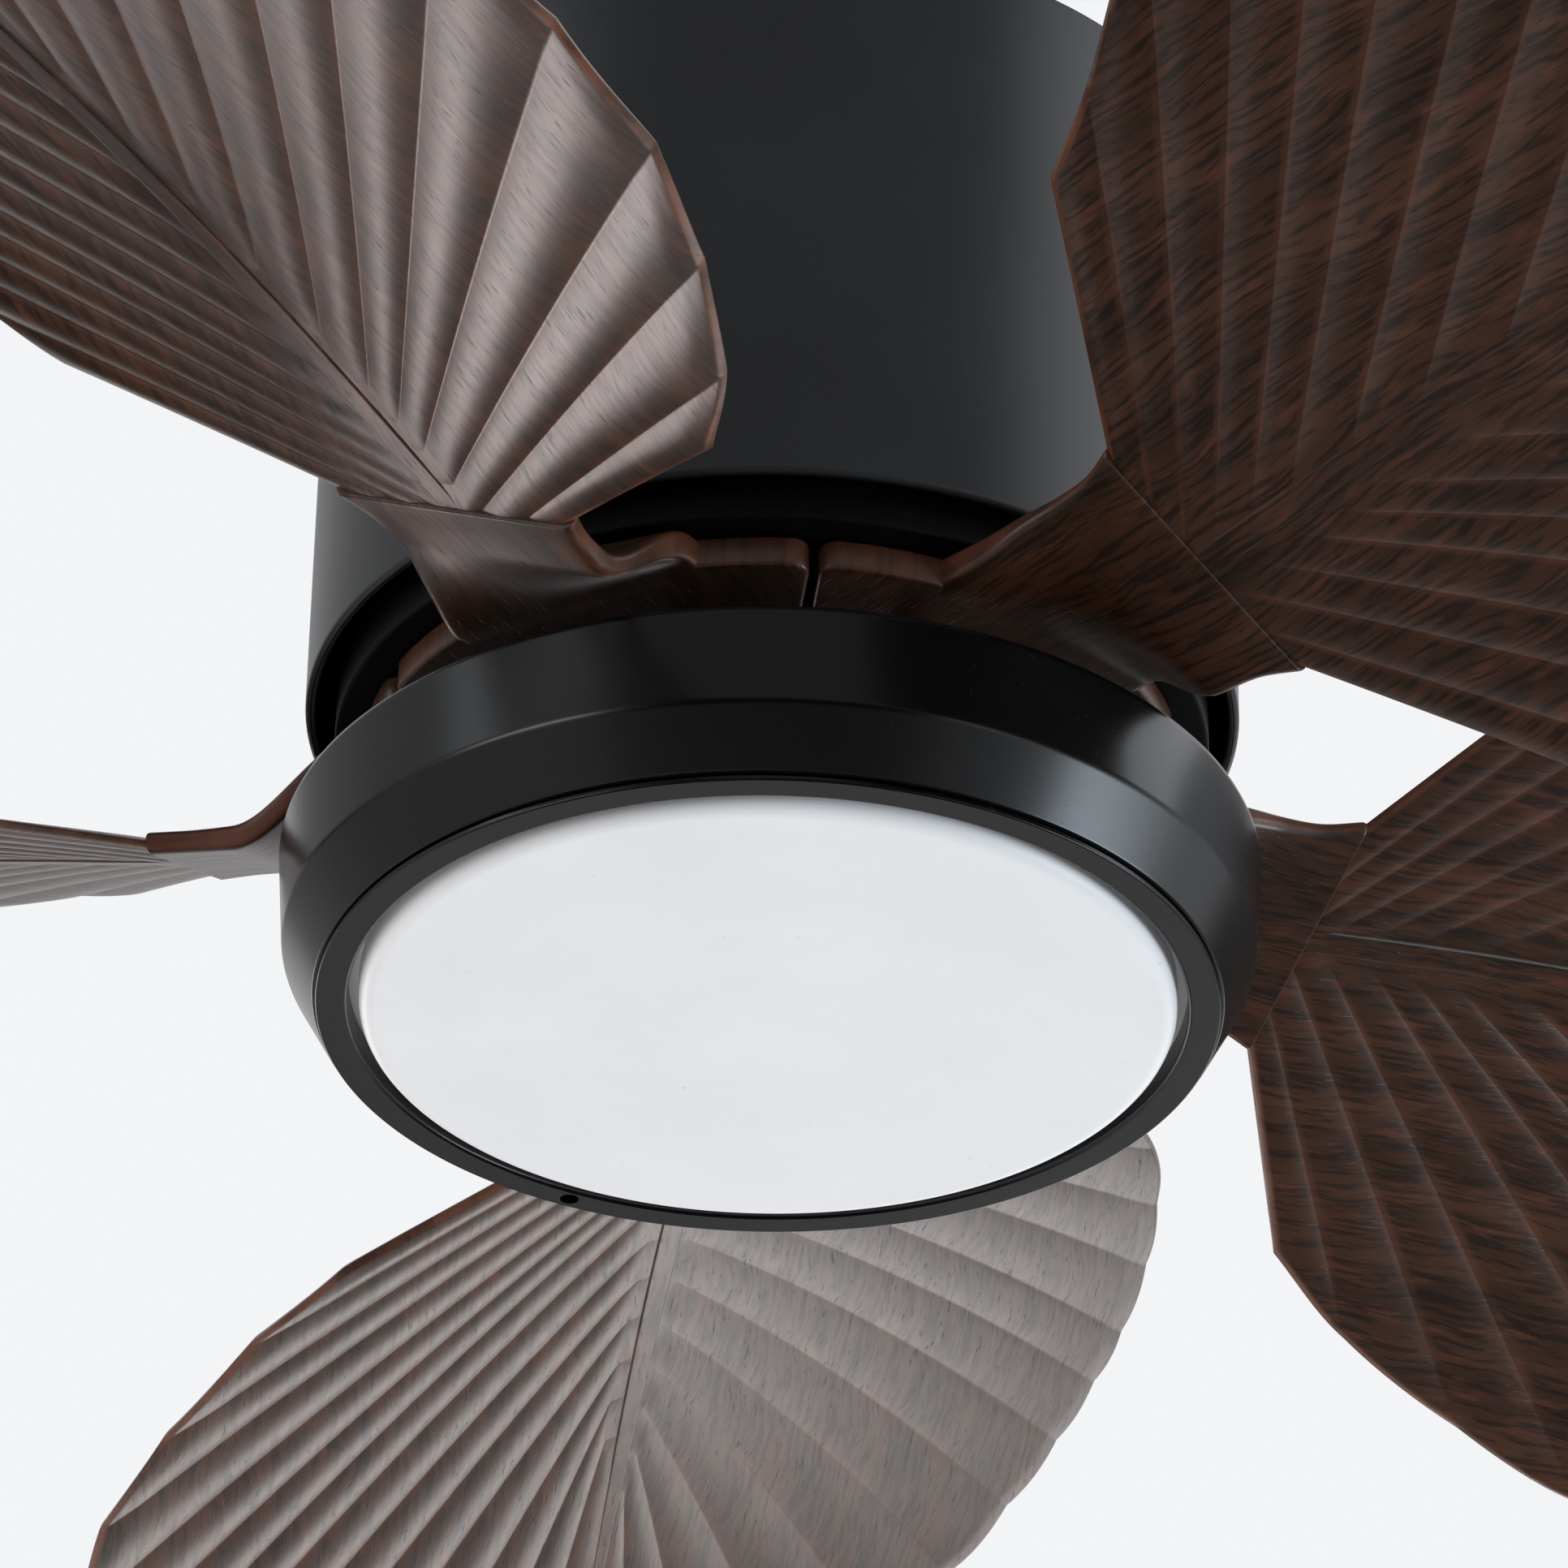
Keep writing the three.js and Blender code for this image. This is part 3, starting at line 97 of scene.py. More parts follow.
# Each leaf half is pleated along straight ribs, from a foot at the midrib to a tip on
# the edge. Both are (distance from the axis, distance across), from the root to the point.
LOW_FEET = [
    (158, 31), (158, 17.5), (159, 5), (174, 8), (188, 8), (200, 8), (214, 8), (236, 8),
    (264, 8), (291, 8), (319, 8), (348, 8), (374, 8), (400, 7), (428, 0),
]
LOW_TIPS = [
    (205, 110), (241, 137), (291, 162), (341, 180), (393, 186), (443, 187.5), (487, 184), (520, 176),
    (551, 162), (577, 143), (599, 116), (617, 84), (631, 52), (642, 24), (648, 0),
]
HIGH_FEET = [
    (158, -31), (158, -13), (160, -4), (172, -6), (184, -5), (198, -5), (219, -5), (243, -5),
    (271, -5), (301, -5), (332, -5), (360, -5), (388, -5), (415, -5), (440, -4), (462, 0),
]
HIGH_TIPS = [
    (203, -105), (229, -119), (279, -152), (334, -178), (377, -187), (418, -190.5), (458, -188.5),
    (485, -183), (515, -174), (546, -160), (575, -142), (597, -117), (616, -87), (631, -55),
    (642, -26), (648, 0),
]
PLEAT_SHARE = 0.085  # height of a pleat as a share of its width
PLEAT_WIDTH = 46  # beyond which a pleat gets no higher
PLEAT_END = 14  # length over which a pleat rises from the midrib
ROOT_SHARE = 0.7  # of a pleat's height, that the first pleats have at the midrib too
EDGE_SHARE = 0.6  # of a pleat's height, that is left at the edge
POINT_SHARE = 0.4  # of a pleat's height, that is left at the point
RIM_R = 2  # rounding of the leaf's edge
BEVEL_WIDTH = 9
BEVEL_DEPTH = 0.7
RIB_STEPS = 14  # rows from one rib to the next
RIB_CROWDING = 0.11  # how far rows move towards a rib, in the same measure
ROOT_ROWS = 8  # rows that close up towards the root
ROOT_REACH = 0.24  # share of the first pleat that they cover
LEAF_COLUMNS = 30
EDGE_COLUMNS = [14, 11, 9, 7, 5, 3.5]  # distances of the last columns from the edge
MIDRIB_START = 159
MIDRIB_END = 645
MIDRIB_PROUD = 0.5  # below the leaf
MIDRIB_TOP = 1.2  # above the leaf
MIDRIB_TAIL = 4  # length over which its end closes
# The finish reads how near a point is to a rim: one on the midrib is far from any, and one
# on the arm or the pad is never quite on it.
MIDRIB_RIM = 20
ARM_RIM = 0.8
PAD_RIM = 1.8
ARM_END_RIM = 2.6
# Steps through the wood between two blades' boards and between a leaf's and its arm's, in
# metres
BOARD_STEP = 7.3
ARM_STEP = 3.1

# Screws
HEAD_R = 4
HEAD_HEIGHT = 2.4
SHANK_R = 2
SHANK_LENGTH = 5
HOUSING_SCREW_AZIMUTHS = [105, 180, 255]
HOUSING_SCREW_DEPTH = 12
HEAD_STEPS = 96
DOME_POWER = 2.6
DOME_FALL = 0.42  # share of the head's height
RECESS_DEPTH = 1.5
SEAT = 0.3  # room round a screw, and between a screw's head and the pad

ROUND_STEPS = 256
HOLE_STEPS = 32
SHARP_ANGLE = 40  # degrees between two faces, beyond which their edge is sharp
WOOD_SHARP_ANGLE = 60
WELD_DISTANCE = 2e-6  # metres
SHEET = 1.5  # thickness of drawn sheet

# Studio, in metres
FLOOR_Z = -2.4
FLOOR_R = 9
FLOOR_LIFT = (0.32, 0.32, 0.33)
FAN_MIDDLE = (0, 0, -0.2)
DISC_MIDDLE = (1.2, -0.4)
DISC_R = 2.9
DISC_GREY = 0.03
# Cards that only reflections see: how grey, and their corners.
FLAGS = {
    "flag_front": (0.0, [(-3, -4, -2.3), (3, -4, -2.3), (3, -4, 0.4), (-3, -4, 0.4)]),
    "flag_high": (0.25, [(-3, -4, 0.4), (3, -4, 0.4), (3, -4, 4), (-3, -4, 4)]),
    "flag_left": (0.4, [(-4, -3, -2.3), (-4, 5.2, -2.3), (-4, 5.2, 3.9), (-4, -3, 3.9)]),
    "flag_far": (0.1, [(-6, 4.2, -2.3), (6, 4.2, -2.3), (6, 4.2, 0.4), (-6, 4.2, 0.4)]),
    "flag_above": (0.05, [(-8, -8, 4), (8, -8, 4), (8, 2, 4), (-8, 2, 4)]),
}
# Area lamps: place, size, how bright the face is, and colour.
SOFTBOXES = {
    "right_box": ((2.3, 0.0, 1.3), (2.2, 1.1), 1.8, (0.9, 0.95, 1.0)),
    "right_low_box": ((2.3, -0.25, -1.1), (1.3, 0.8), 8.5, (0.78, 0.89, 1.0)),
    "left_high_box": ((-2.3, -1.0, 1.3), (0.9, 0.9), 1.5, (0.88, 0.94, 1.0)),
    "left_front_box": ((-2.1, -1.6, -0.1), (1.4, 0.5), 4.0, (0.9, 0.95, 1.0)),
    "far_left_box": ((-2.1, 3.4, -0.65), (1.6, 1.1), 4.8, (1.0, 0.91, 0.9)),
    "far_right_box": ((1.2, 3.6, -0.7), (2.6, 1.4), 2.0, (1.0, 0.97, 0.96)),
    "under_fill": ((-1.0, 0.6, -2.2), (2.4, 2.0), 1.7, (1.0, 0.98, 0.96)),
}
HIDDEN_BOXES = ["under_fill"]  # which reflections don't see
SURROUND_FILL = 0.5  # share of the surround's light that falls on the fan


# --- Shapes ------------------------------------------------------------------


def smooth(x, low, high):
    """0 up to low, 1 from high on, and 3t^2 - 2t^3 between them."""
    t = np.clip((x - low) / (high - low), 0, 1)
    return t * t * (3 - 2 * t)


def mix(a, b, t):
    """a at t = 0 and b at t = 1."""
    return a + (b - a) * t


def through(points, t):
    """The Catmull-Rom curve through points, which it meets at whole values of t."""
    p = np.asarray(points, float)
    p = np.vstack([2 * p[0] - p[1], p, 2 * p[-1] - p[-2]])
    i = np.clip(np.floor(t).astype(int), 0, len(points) - 2)
    u = (t - i)[..., None]
    a, b, c, d = p[i], p[i + 1], p[i + 2], p[i + 3]
    return b + 0.5 * u * (c - a + u * (2 * a - 5 * b + 4 * c - d + u * (3 * (b - c) + d - a)))


def direction(degrees):
    """Unit vectors at angles from +X towards +Y."""
    angle = np.radians(degrees)
    return np.stack([np.cos(angle), np.sin(angle)], -1)


def grid(rows, columns, wrap_rows=False, wrap_columns=False):
    """Quads between the points of a grid that is numbered row by row."""
    i = np.arange(rows if wrap_rows else rows - 1)[:, None]
    j = np.arange(columns if wrap_columns else columns - 1)[None, :]
    below, beside = (i + 1) % rows * columns, (j + 1) % columns
    quads = [i * columns + j, below + j, below + beside, i * columns + beside]
    return np.stack(np.broadcast_arrays(*quads), -1).reshape(-1, 4)


def rounded(corners, steps=5):
    """A closed profile of (radius, z, rounding) corners. Each corner becomes the arc that is
    tangent to both its sides, as a rational quadratic Bezier curve whose middle weight is
    the sine of half the corner, with a short straight shoulder before and after it."""
    c = np.asarray(corners, float)
    p, r = c[:, :2], c[:, 2:]
    back, ahead = np.roll(p, 1, 0) - p, np.roll(p, -1, 0) - p
    back_length = np.linalg.norm(back, axis=1, keepdims=True)
    ahead_length = np.linalg.norm(ahead, axis=1, keepdims=True)
    back, ahead = back / back_length, ahead / ahead_length
    half = 0.5 * np.arccos(np.clip((back * ahead).sum(1, keepdims=True), -1, 1))
    reach = r / np.tan(half)
    t = np.linspace(0, 1, steps + 1)[None, :, None]
    start, end, weight = (x[:, None] for x in (p + reach * back, p + reach * ahead, np.sin(half)))
    arc = (1 - t) ** 2 * start + 2 * t * (1 - t) * weight * p[:, None] + t**2 * end
    arc /= (1 - t) ** 2 + 2 * t * (1 - t) * weight + t**2
    shoulder = [
        p + (reach + np.clip(0.2 * (length - reach), 0, 0.4)) * way
        for length, way in ((back_length, back), (ahead_length, ahead))
    ]
    return np.concatenate([shoulder[0][:, None], arc, shoulder[1][:, None]], 1).reshape(-1, 2)


def turned(profile, sides=ROUND_STEPS):
    """Points and faces of a closed (radius, z) profile carried round the Z axis."""
    angle = np.arange(sides) * 2 * np.pi / sides
    r, z = profile[:, :1], profile[:, 1:]
    points = np.stack([r * np.cos(angle), r * np.sin(angle), z + 0 * angle], -1)
    return points.reshape(-1, 3), grid(len(profile), sides, True, True)


def weld(mesh):
    """Joins doubled points, drops loose edges and turns every face outwards."""
    work = bmesh.new()
    work.from_mesh(mesh)
    bmesh.ops.remove_doubles(work, verts=work.verts, dist=WELD_DISTANCE)
    loose = [edge for edge in work.edges if not edge.link_faces]
    bmesh.ops.delete(work, geom=loose, context="EDGES")
    bmesh.ops.recalc_face_normals(work, faces=work.faces)
    work.to_mesh(mesh)
    work.free()


def shade(mesh, sharp):
    """Smooth faces, but for edges sharper than an angle in degrees."""
    mesh.shade_smooth()
    mesh.set_sharp_from_angle(angle=math.radians(sharp))


def joined(name, parts, attributes=()):
    """One mesh from (points, faces) parts in millimetres. Attributes are (name, vectors)
    pairs, one vector for each point."""
    points = np.concatenate([p for p, _ in parts])
    firsts = np.cumsum([0] + [len(p) for p, _ in parts])
    faces = np.concatenate([f + first for (_, f), first in zip(parts, firsts)])
    mesh = bpy.data.meshes.new(name)
    mesh.from_pydata((points * MM).tolist(), [], faces.tolist())
    for key, vectors in attributes:
        layer = mesh.attributes.new(key, "FLOAT_VECTOR", "POINT")
        layer.data.foreach_set("vector", vectors.astype(np.float32).ravel())
    weld(mesh)
    return mesh


def added(name, data):
    """An object in the scene that shows a mesh, a lamp or a camera."""
    obj = bpy.data.objects.new(name, data)
    bpy.context.scene.collection.objects.link(obj)
    return obj


def piece(name, parts, finish, body, nodes, attributes=(), sharp=SHARP_ANGLE):
    """One object from parts, which rides on a body and stands for CAD nodes."""
    mesh = joined(name, parts, attributes)
    shade(mesh, sharp)
    mesh.materials.append(finish)
    obj = added(name, mesh)
    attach(obj, body)
    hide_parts(*nodes)
    return obj


def drill(target, holes):
    """Cuts round holes, each (radius, start, end) in millimetres, through a piece."""
    rods = []
    for radius, start, end in holes:
        start, axis = Vector(start), Vector(end) - Vector(start)
        profile = [(0, 0), (radius, 0), (radius, axis.length), (0, axis.length)]
        points, faces = turned(np.array(profile), HOLE_STEPS)
        turn = np.array(axis.to_track_quat("Z", "Y").to_matrix())
        rods.append((points @ turn.T + np.array(start), faces))
    cutter = added("drill", joined("drill", rods))
    cut = target.modifiers.new("holes", "BOOLEAN")
    cut.operation, cut.solver, cut.object = "DIFFERENCE", "EXACT", cutter
    ready = target.evaluated_get(bpy.context.evaluated_depsgraph_get())
    target.data = bpy.data.meshes.new_from_object(ready)
    target.modifiers.clear()
    bpy.data.objects.remove(cutter)
    shade(target.data, SHARP_ANGLE)


def span(node):
    """A turned node's radius, lowest and highest z, in millimetres."""
    low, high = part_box(node)
    return high.x / MM, low.z / MM, high.z / MM


def middle(node):
    """The x and y of a node's middle, in millimetres."""
    low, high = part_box(node)
    return (low.x + high.x) / 2 / MM, (low.y + high.y) / 2 / MM


def at(azimuth, radius, z):
    """The point at an azimuth, a radius and a height."""
    x, y = direction(azimuth - 90) * radius
    return float(x), float(y), float(z)


# --- Finishes ----------------------------------------------------------------


class Value:
    """An output of a node. Arithmetic on it adds Math nodes."""

    def __init__(self, nodes, socket):
        self.nodes, self.socket = nodes, socket

    def maths(self, operation, *operands):
        inputs = dict(enumerate(operands))
        return self.nodes.add("ShaderNodeMath", {"operation": operation}, inputs)

    def __add__(self, other):
        return self.maths("ADD", self, other)

    def __sub__(self, other):
        return self.maths("SUBTRACT", self, other)

    def __rsub__(self, other):
        return self.maths("SUBTRACT", other, self)

    def __mul__(self, other):
        return self.maths("MULTIPLY", self, other)

    def __abs__(self):
        return self.maths("ABSOLUTE", self)

    def most(self, other):
        return self.maths("MAXIMUM", self, other)

    def fraction(self):
        return self.maths("FRACT", self)

    __radd__ = __add__
    __rmul__ = __mul__


class Nodes:
    """A node tree that is emptied and built up again."""

    def __init__(self, owner):
        owner.use_nodes = True
        self.owner, self.tree = owner, owner.node_tree
        self.tree.nodes.clear()

    def add(self, kind, settings=None, inputs=None, output=0):
        """Adds a node: its settings, then the values or links of its sockets, which are named
        by number, name or identifier. It returns the chosen output."""
        node = self.tree.nodes.new(kind)
        for key, setting in (settings or {}).items():
            setattr(node, key, setting)
        for key, given in (inputs or {}).items():
            socket = self.find(node.inputs, key)
            if isinstance(given, Value):
                self.tree.links.new(given.socket, socket)
            elif isinstance(given, tuple) and socket.type == "RGBA":
                socket.default_value = (*given, 1)
            else:
                socket.default_value = given
        return Value(self, self.find(node.outputs, output)) if node.outputs else None

    @staticmethod
    def find(sockets, key):
        if isinstance(key, int):
            return sockets[key]
        return next(s for s in sockets if key in (s.identifier, s.name))

    def place(self):
        return self.add("ShaderNodeTexCoord", output="Object")

    def attribute(self, name):
        return self.add("ShaderNodeAttribute", {"attribute_name": name}, output="Vector")

    def split(self, vector):
        parts = self.add("ShaderNodeSeparateXYZ", None, {0: vector}).socket.node
        return [Value(self, socket) for socket in parts.outputs]

    def vector(self, x, y, z):
        return self.add("ShaderNodeCombineXYZ", None, {0: x, 1: y, 2: z})

    def noise(self, vector, scale=1, detail=2, roughness=0.5):
        inputs = {"Vector": vector, "Scale": scale, "Detail": detail, "Roughness": roughness}
        return self.add("ShaderNodeTexNoise", None, inputs)

    def step(self, value, low, high):
        """0 up to low and 1 from high on, smoothly."""
        inputs = {"Value": value, "From Min": low, "From Max": high}
        return self.add("ShaderNodeMapRange", {"interpolation_type": "SMOOTHSTEP"}, inputs)

    def blend(self, factor, first, second):
        inputs = {"Factor_Float": factor, "A_Color": first, "B_Color": second}
        return self.add("ShaderNodeMix", {"data_type": "RGBA"}, inputs, "Result_Color")

    def bump(self, height, depth):
        """Bump from a height of 0 to 1 that stands for a depth in metres."""
        inputs = {"Strength": 1, "Distance": depth, "Height": height}
        return self.add("ShaderNodeBump", None, inputs)

    def surface(self, **inputs):
        """Ends the material with a Principled surface. An underscore stands for a space."""
        named = {key.replace("_", " "): given for key, given in inputs.items()}
        shader = self.add("ShaderNodeBsdfPrincipled", None, named)
        self.add("ShaderNodeOutputMaterial", None, {"Surface": shader})
        return self.owner


def new_finish(name):
    return Nodes(bpy.data.materials.new(name))


def tone(red, green, blue):
    """A colour written in screen values of 0 to 255, as linear light."""
    c = np.array([red, green, blue]) / 255
    return tuple(np.where(c <= 0.04045, c / 12.92, ((c + 0.055) / 1.055) ** 2.4).tolist())


def satin_paint(name, dark, light, roughness, grain=0.012, shine=0.5):
    """Sprayed paint: a fine orange peel, a little drift in its tone and its shine, and a
    thin scatter of dust."""
    n = new_finish(name)
    place = n.place()
    drift = n.noise(place, 14, 3)
    peel = n.noise(place, 1500, 2, 0.6)
    dust = n.step(n.noise(place, 420, 1), 0.74, 0.84)
    colour = n.blend(n.step(drift, 0.3, 0.7), dark, light)
    colour = n.blend(dust * 0.03, colour, tone(150, 148, 144))
    return n.surface(
        Base_Color=colour,
        Roughness=roughness + (drift - 0.5) * 0.08 + (peel - 0.5) * 0.06 + dust * 0.1,
        Normal=n.bump(peel, grain * MM),
        Specular_IOR_Level=shine,
    )


def bare_metal(name, dark, light, roughness, stretch=(60, 60, 900)):
    """Bright metal with fine tool marks along one direction and a cloudy tarnish."""
    n = new_finish(name)
    place = n.place()
    x, y, z = n.split(place)
    marks = n.noise(n.vector(x * stretch[0], y * stretch[1], z * stretch[2]), 1, 3, 0.6)
    tarnish = n.noise(place, 60, 4)
    return n.surface(
        Base_Color=n.blend(n.step(tarnish, 0.3, 0.75), light, dark),
        Metallic=1.0,
        Roughness=roughness + (marks - 0.5) * 0.2 + n.step(tarnish, 0.5, 0.8) * 0.12,
        Normal=n.bump(marks, 0.01 * MM),
    )


def moulded(name, colour, shadow, roughness):
    """Moulded plastic with a spark-eroded grain."""
    n = new_finish(name)
    place = n.place()
    skin = n.noise(place, 1800, 2)
    return n.surface(
        Base_Color=n.blend(n.step(n.noise(place, 30, 3), 0.35, 0.7), colour, shadow),
        Roughness=roughness + (skin - 0.5) * 0.15,
        Normal=n.bump(skin, 0.02 * MM),
    )


def opal_plastic():
    """Opal acrylic: almost even, with a soft shine, a faint mottle and a few dust motes."""
    n = new_finish("opal_acrylic")
    place = n.place()
    mottle = n.noise(place, 22, 3)
    specks = n.step(n.noise(place, 300, 1), 0.76, 0.82)
    colour = n.blend(n.step(mottle, 0.3, 0.7), tone(241, 241, 242), tone(245, 245, 245))
    return n.surface(
        Base_Color=n.blend(specks * 0.3, colour, tone(190, 188, 184)),
        Roughness=0.42 + (mottle - 0.5) * 0.06,
        Normal=n.bump(n.noise(place, 900, 2), 0.004 * MM),
    )


def walnut(name):
    """Dark stained walnut. The grain runs along the blade and sways a little: broad bands,
    near-black waves and short pores. Warmer brown lines in patches along the ribs' grooves are
    a painted highlight; the rims are rubbed to a warmer brown in patches."""
    n = new_finish(name)
    along, across, board = n.split(n.attribute("grain"))
    groove, rim, _ = n.split(n.attribute("relief"))
    sway = n.noise(n.vector(along * 6, across * 14, board), 1, 3) - 0.5
    fine_sway = n.noise(n.vector(along * 34, across * 50, board), 1, 2) - 0.5
    line = across + sway * 0.024 + fine_sway * 0.004
    bands = n.noise(n.vector(along * 4, line * 50, board), 1, 4, 0.55)
    flame = n.noise(n.vector(along * 45, line * 170, board), 1, 3, 0.6)
    waves = n.noise(n.vector(along * 50, line * 600, board), 1, 3, 0.55)
    hairs = n.noise(n.vector(along * 60, line * 1100, board), 1, 2, 0.6)
    pores = n.step(n.noise(n.vector(along * 150, line * 1300, board), 1, 1), 0.64, 0.76)
    body = n.blend(n.step(bands, 0.32, 0.68), tone(52, 32, 20), tone(75, 45, 28))
    body = n.blend(n.step(flame, 0.5, 0.74) * 0.6, body, tone(98, 54, 37))
    dark = n.step(waves, 0.47, 0.6) * (1.15 - 0.6 * bands)
    body = n.blend(dark * 0.82, body, tone(24, 16, 13))
    body = n.blend(n.step(hairs, 0.55, 0.8) * 0.4, body, tone(90, 58, 43))
    body = n.blend(pores * 0.6, body, tone(14, 10, 9))
    patch = n.noise(n.place(), 46, 3, 0.6)
    # Painted highlight: warmer brown lines, in patches, along the ribs' grooves.
    rib_highlight = n.step(groove, 0.72, 0.95) * (0.3 + 0.7 * n.step(patch, 0.4, 0.6)) * 0.4
    body = n.blend(rib_highlight, body, tone(104, 60, 42))
    edge = n.step(rim, 0.0026, 0.001) * (0.25 + 0.75 * n.step(patch, 0.36, 0.6))
    body = n.blend(edge * 0.85, body, tone(116, 70, 49))
    height = bands * 0.3 + waves * 0.5 + hairs * 0.3 - pores * 0.6
    return n.surface(
        Base_Color=body,
        Roughness=0.38 + (waves - 0.5) * 0.18 + (patch - 0.5) * 0.1 + pores * 0.15,
        IOR=1.5,
        Coat_Weight=0.3 + (patch - 0.5) * 0.3,
        Coat_Roughness=0.3,
        Normal=n.bump(height, 0.09 * MM),
    )


def bare_copper():
    """Enamelled winding wire, close turns round each tooth, with painted shade between the turns."""
    n = new_finish("winding_wire")
    _, _, z = n.split(n.place())
    # Painted shade: each turn darkens from its middle towards the crevices at its sides.
    turns = n.step(abs((z * 900).fraction() - 0.5), 0.05, 0.5)
    return n.surface(
        Base_Color=n.blend(turns, tone(176, 92, 48), tone(92, 42, 22)),
        Metallic=0.9,
        Roughness=0.38 + turns * 0.15,
        Normal=n.bump(1 - turns, 0.2 * MM),
    )


def stacked_steel():
    """Punched sheets, one on another."""
    n = new_finish("stacked_sheets")
    _, _, z = n.split(n.place())
    gap = n.step((z * 2000).fraction(), 0.8, 0.95)
    return n.surface(
        Base_Color=n.blend(gap, tone(96, 100, 104), tone(40, 40, 42)),
        Metallic=0.8,
        Roughness=0.5 + gap * 0.2,
        Normal=n.bump(1 - gap, 0.1 * MM),
    )


housing_paint = satin_paint("charcoal_paint", tone(40, 41, 43), tone(44, 46, 48), 0.4)
lamp_paint = satin_paint("black_paint", tone(4, 5, 6), tone(7, 8, 9), 0.25, 0.006)
bracket_paint = satin_paint("bracket_paint", tone(46, 48, 51), tone(56, 58, 61), 0.5)
# Near black with little shine: the rotor's paint, partly painted shade for the dark gap inside the
# housing.
rotor_paint = satin_paint("rotor_paint", tone(7, 7, 7), tone(10, 10, 10), 0.55, shine=0.15)
zinc = bare_metal("zinc_plate", tone(120, 122, 124), tone(176, 178, 180), 0.36)
dark_screw = bare_metal("blackened_steel", tone(34, 34, 36), tone(62, 62, 64), 0.42)
shaft_steel = bare_metal("ground_steel", tone(110, 113, 116), tone(160, 163, 166), 0.28)
race_steel = bare_metal("bearing_steel", tone(140, 142, 145), tone(190, 192, 195), 0.18, (40, 40, 200))
magnet_grey = satin_paint("magnet_ferrite", tone(48, 50, 53), tone(60, 62, 65), 0.6, 0.03)
walnut_wood = walnut("stained_walnut")
opal = opal_plastic()
board_white = moulded("board_white", tone(236, 236, 232), tone(226, 226, 222), 0.5)
case_plastic = moulded("case_plastic", tone(216, 217, 213), tone(200, 201, 197), 0.55)
lead_sheath = moulded("lead_sheath", tone(26, 26, 27), tone(34, 34, 35), 0.6)
copper = bare_copper()
laminations = stacked_steel()

# The finish of each carried-over node, by the start of its name.
NODE_FINISHES = {
    "ceiling_plate": bracket_paint,
    "motor_hanger": bracket_paint,
    "light_bracket": bracket_paint,
    "housing_shell": housing_paint,
    "light_pan": lamp_paint,
    "trim_ring": lamp_paint,
    "rotor_cover": rotor_paint,
    "housing_screw": dark_screw,
    "trim_lock_screw": dark_screw,
    "light_pan_screw": zinc,
    "hanger_screw": zinc,
    "rotor_screw": zinc,
    "blade_screw": zinc,
    "shaft_nut": zinc,
    "motor_shaft": shaft_steel,
    "upper_bearing": race_steel,
    "lower_bearing": race_steel,
    "stator_core": laminations,
    "stator_coil": copper,
    "magnet_ring": magnet_grey,
    "blade_": walnut_wood,
    "diffuser": opal,
    "led_board": board_white,
    "led_post": case_plastic,
    "led_driver": case_plastic,
    "receiver_box": case_plastic,
    "terminal_block": case_plastic,
    "lamp_lead": lead_sheath,
}

for node_name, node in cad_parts.items():
    start = max((key for key in NODE_FINISHES if node_name.startswith(key)), key=len)
    if not node.material_slots:
        node.data.materials.append(None)
    for material_slot in node.material_slots:
        material_slot.material = NODE_FINISHES[start]


# --- Blades ------------------------------------------------------------------

SCREW_LOW_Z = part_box("blade_screw_1")[0].z / MM
PAD_MIDDLE_Z = SCREW_LOW_Z + HEAD_HEIGHT + SEAT + PAD_THICKNESS / 2


def on_blade(r, c, lift):
    """Points of a blade: r out along it, c across it and lift square to its middle surface,
    which turns by the leaf's pitch and drops between the pad and the arm, then climbs at a
    steady slope less a droop that grows with the square of the distance."""
    beyond = np.maximum(0, r - SEAM_R)
    twist = smooth(r, TWIST_START, TWIST_END)
    z = PAD_MIDDLE_Z - SEAM_DROP * twist + LEAF_SLOPE * beyond - LEAF_DROOP * beyond**2
    pitch = np.radians(LEAF_PITCH) * twist
    y = c * np.cos(pitch) + lift * np.sin(pitch)
    return np.stack([r + 0 * y, y, z - c * np.sin(pitch) + lift * np.cos(pitch)], -1)


def cushion(distance, radius):
    """Share of the full thickness at a distance from an edge that is rounded by a radius."""
    inside = 1 - np.clip(distance / radius, 0, 1)
    return np.sqrt(np.maximum(0, 1 - inside**2))


def wood_data(r, c, groove, rim):
    """What the finish reads at each point: where it is in the board, and how deep in a
    groove and how far from a rim it is, in metres."""
    grain = np.stack([r, c, 0 * c], -1).reshape(-1, 3)
    relief = np.stack([groove + 0 * c, rim * MM + 0 * c, 0 * c], -1).reshape(-1, 3)
    return grain, relief


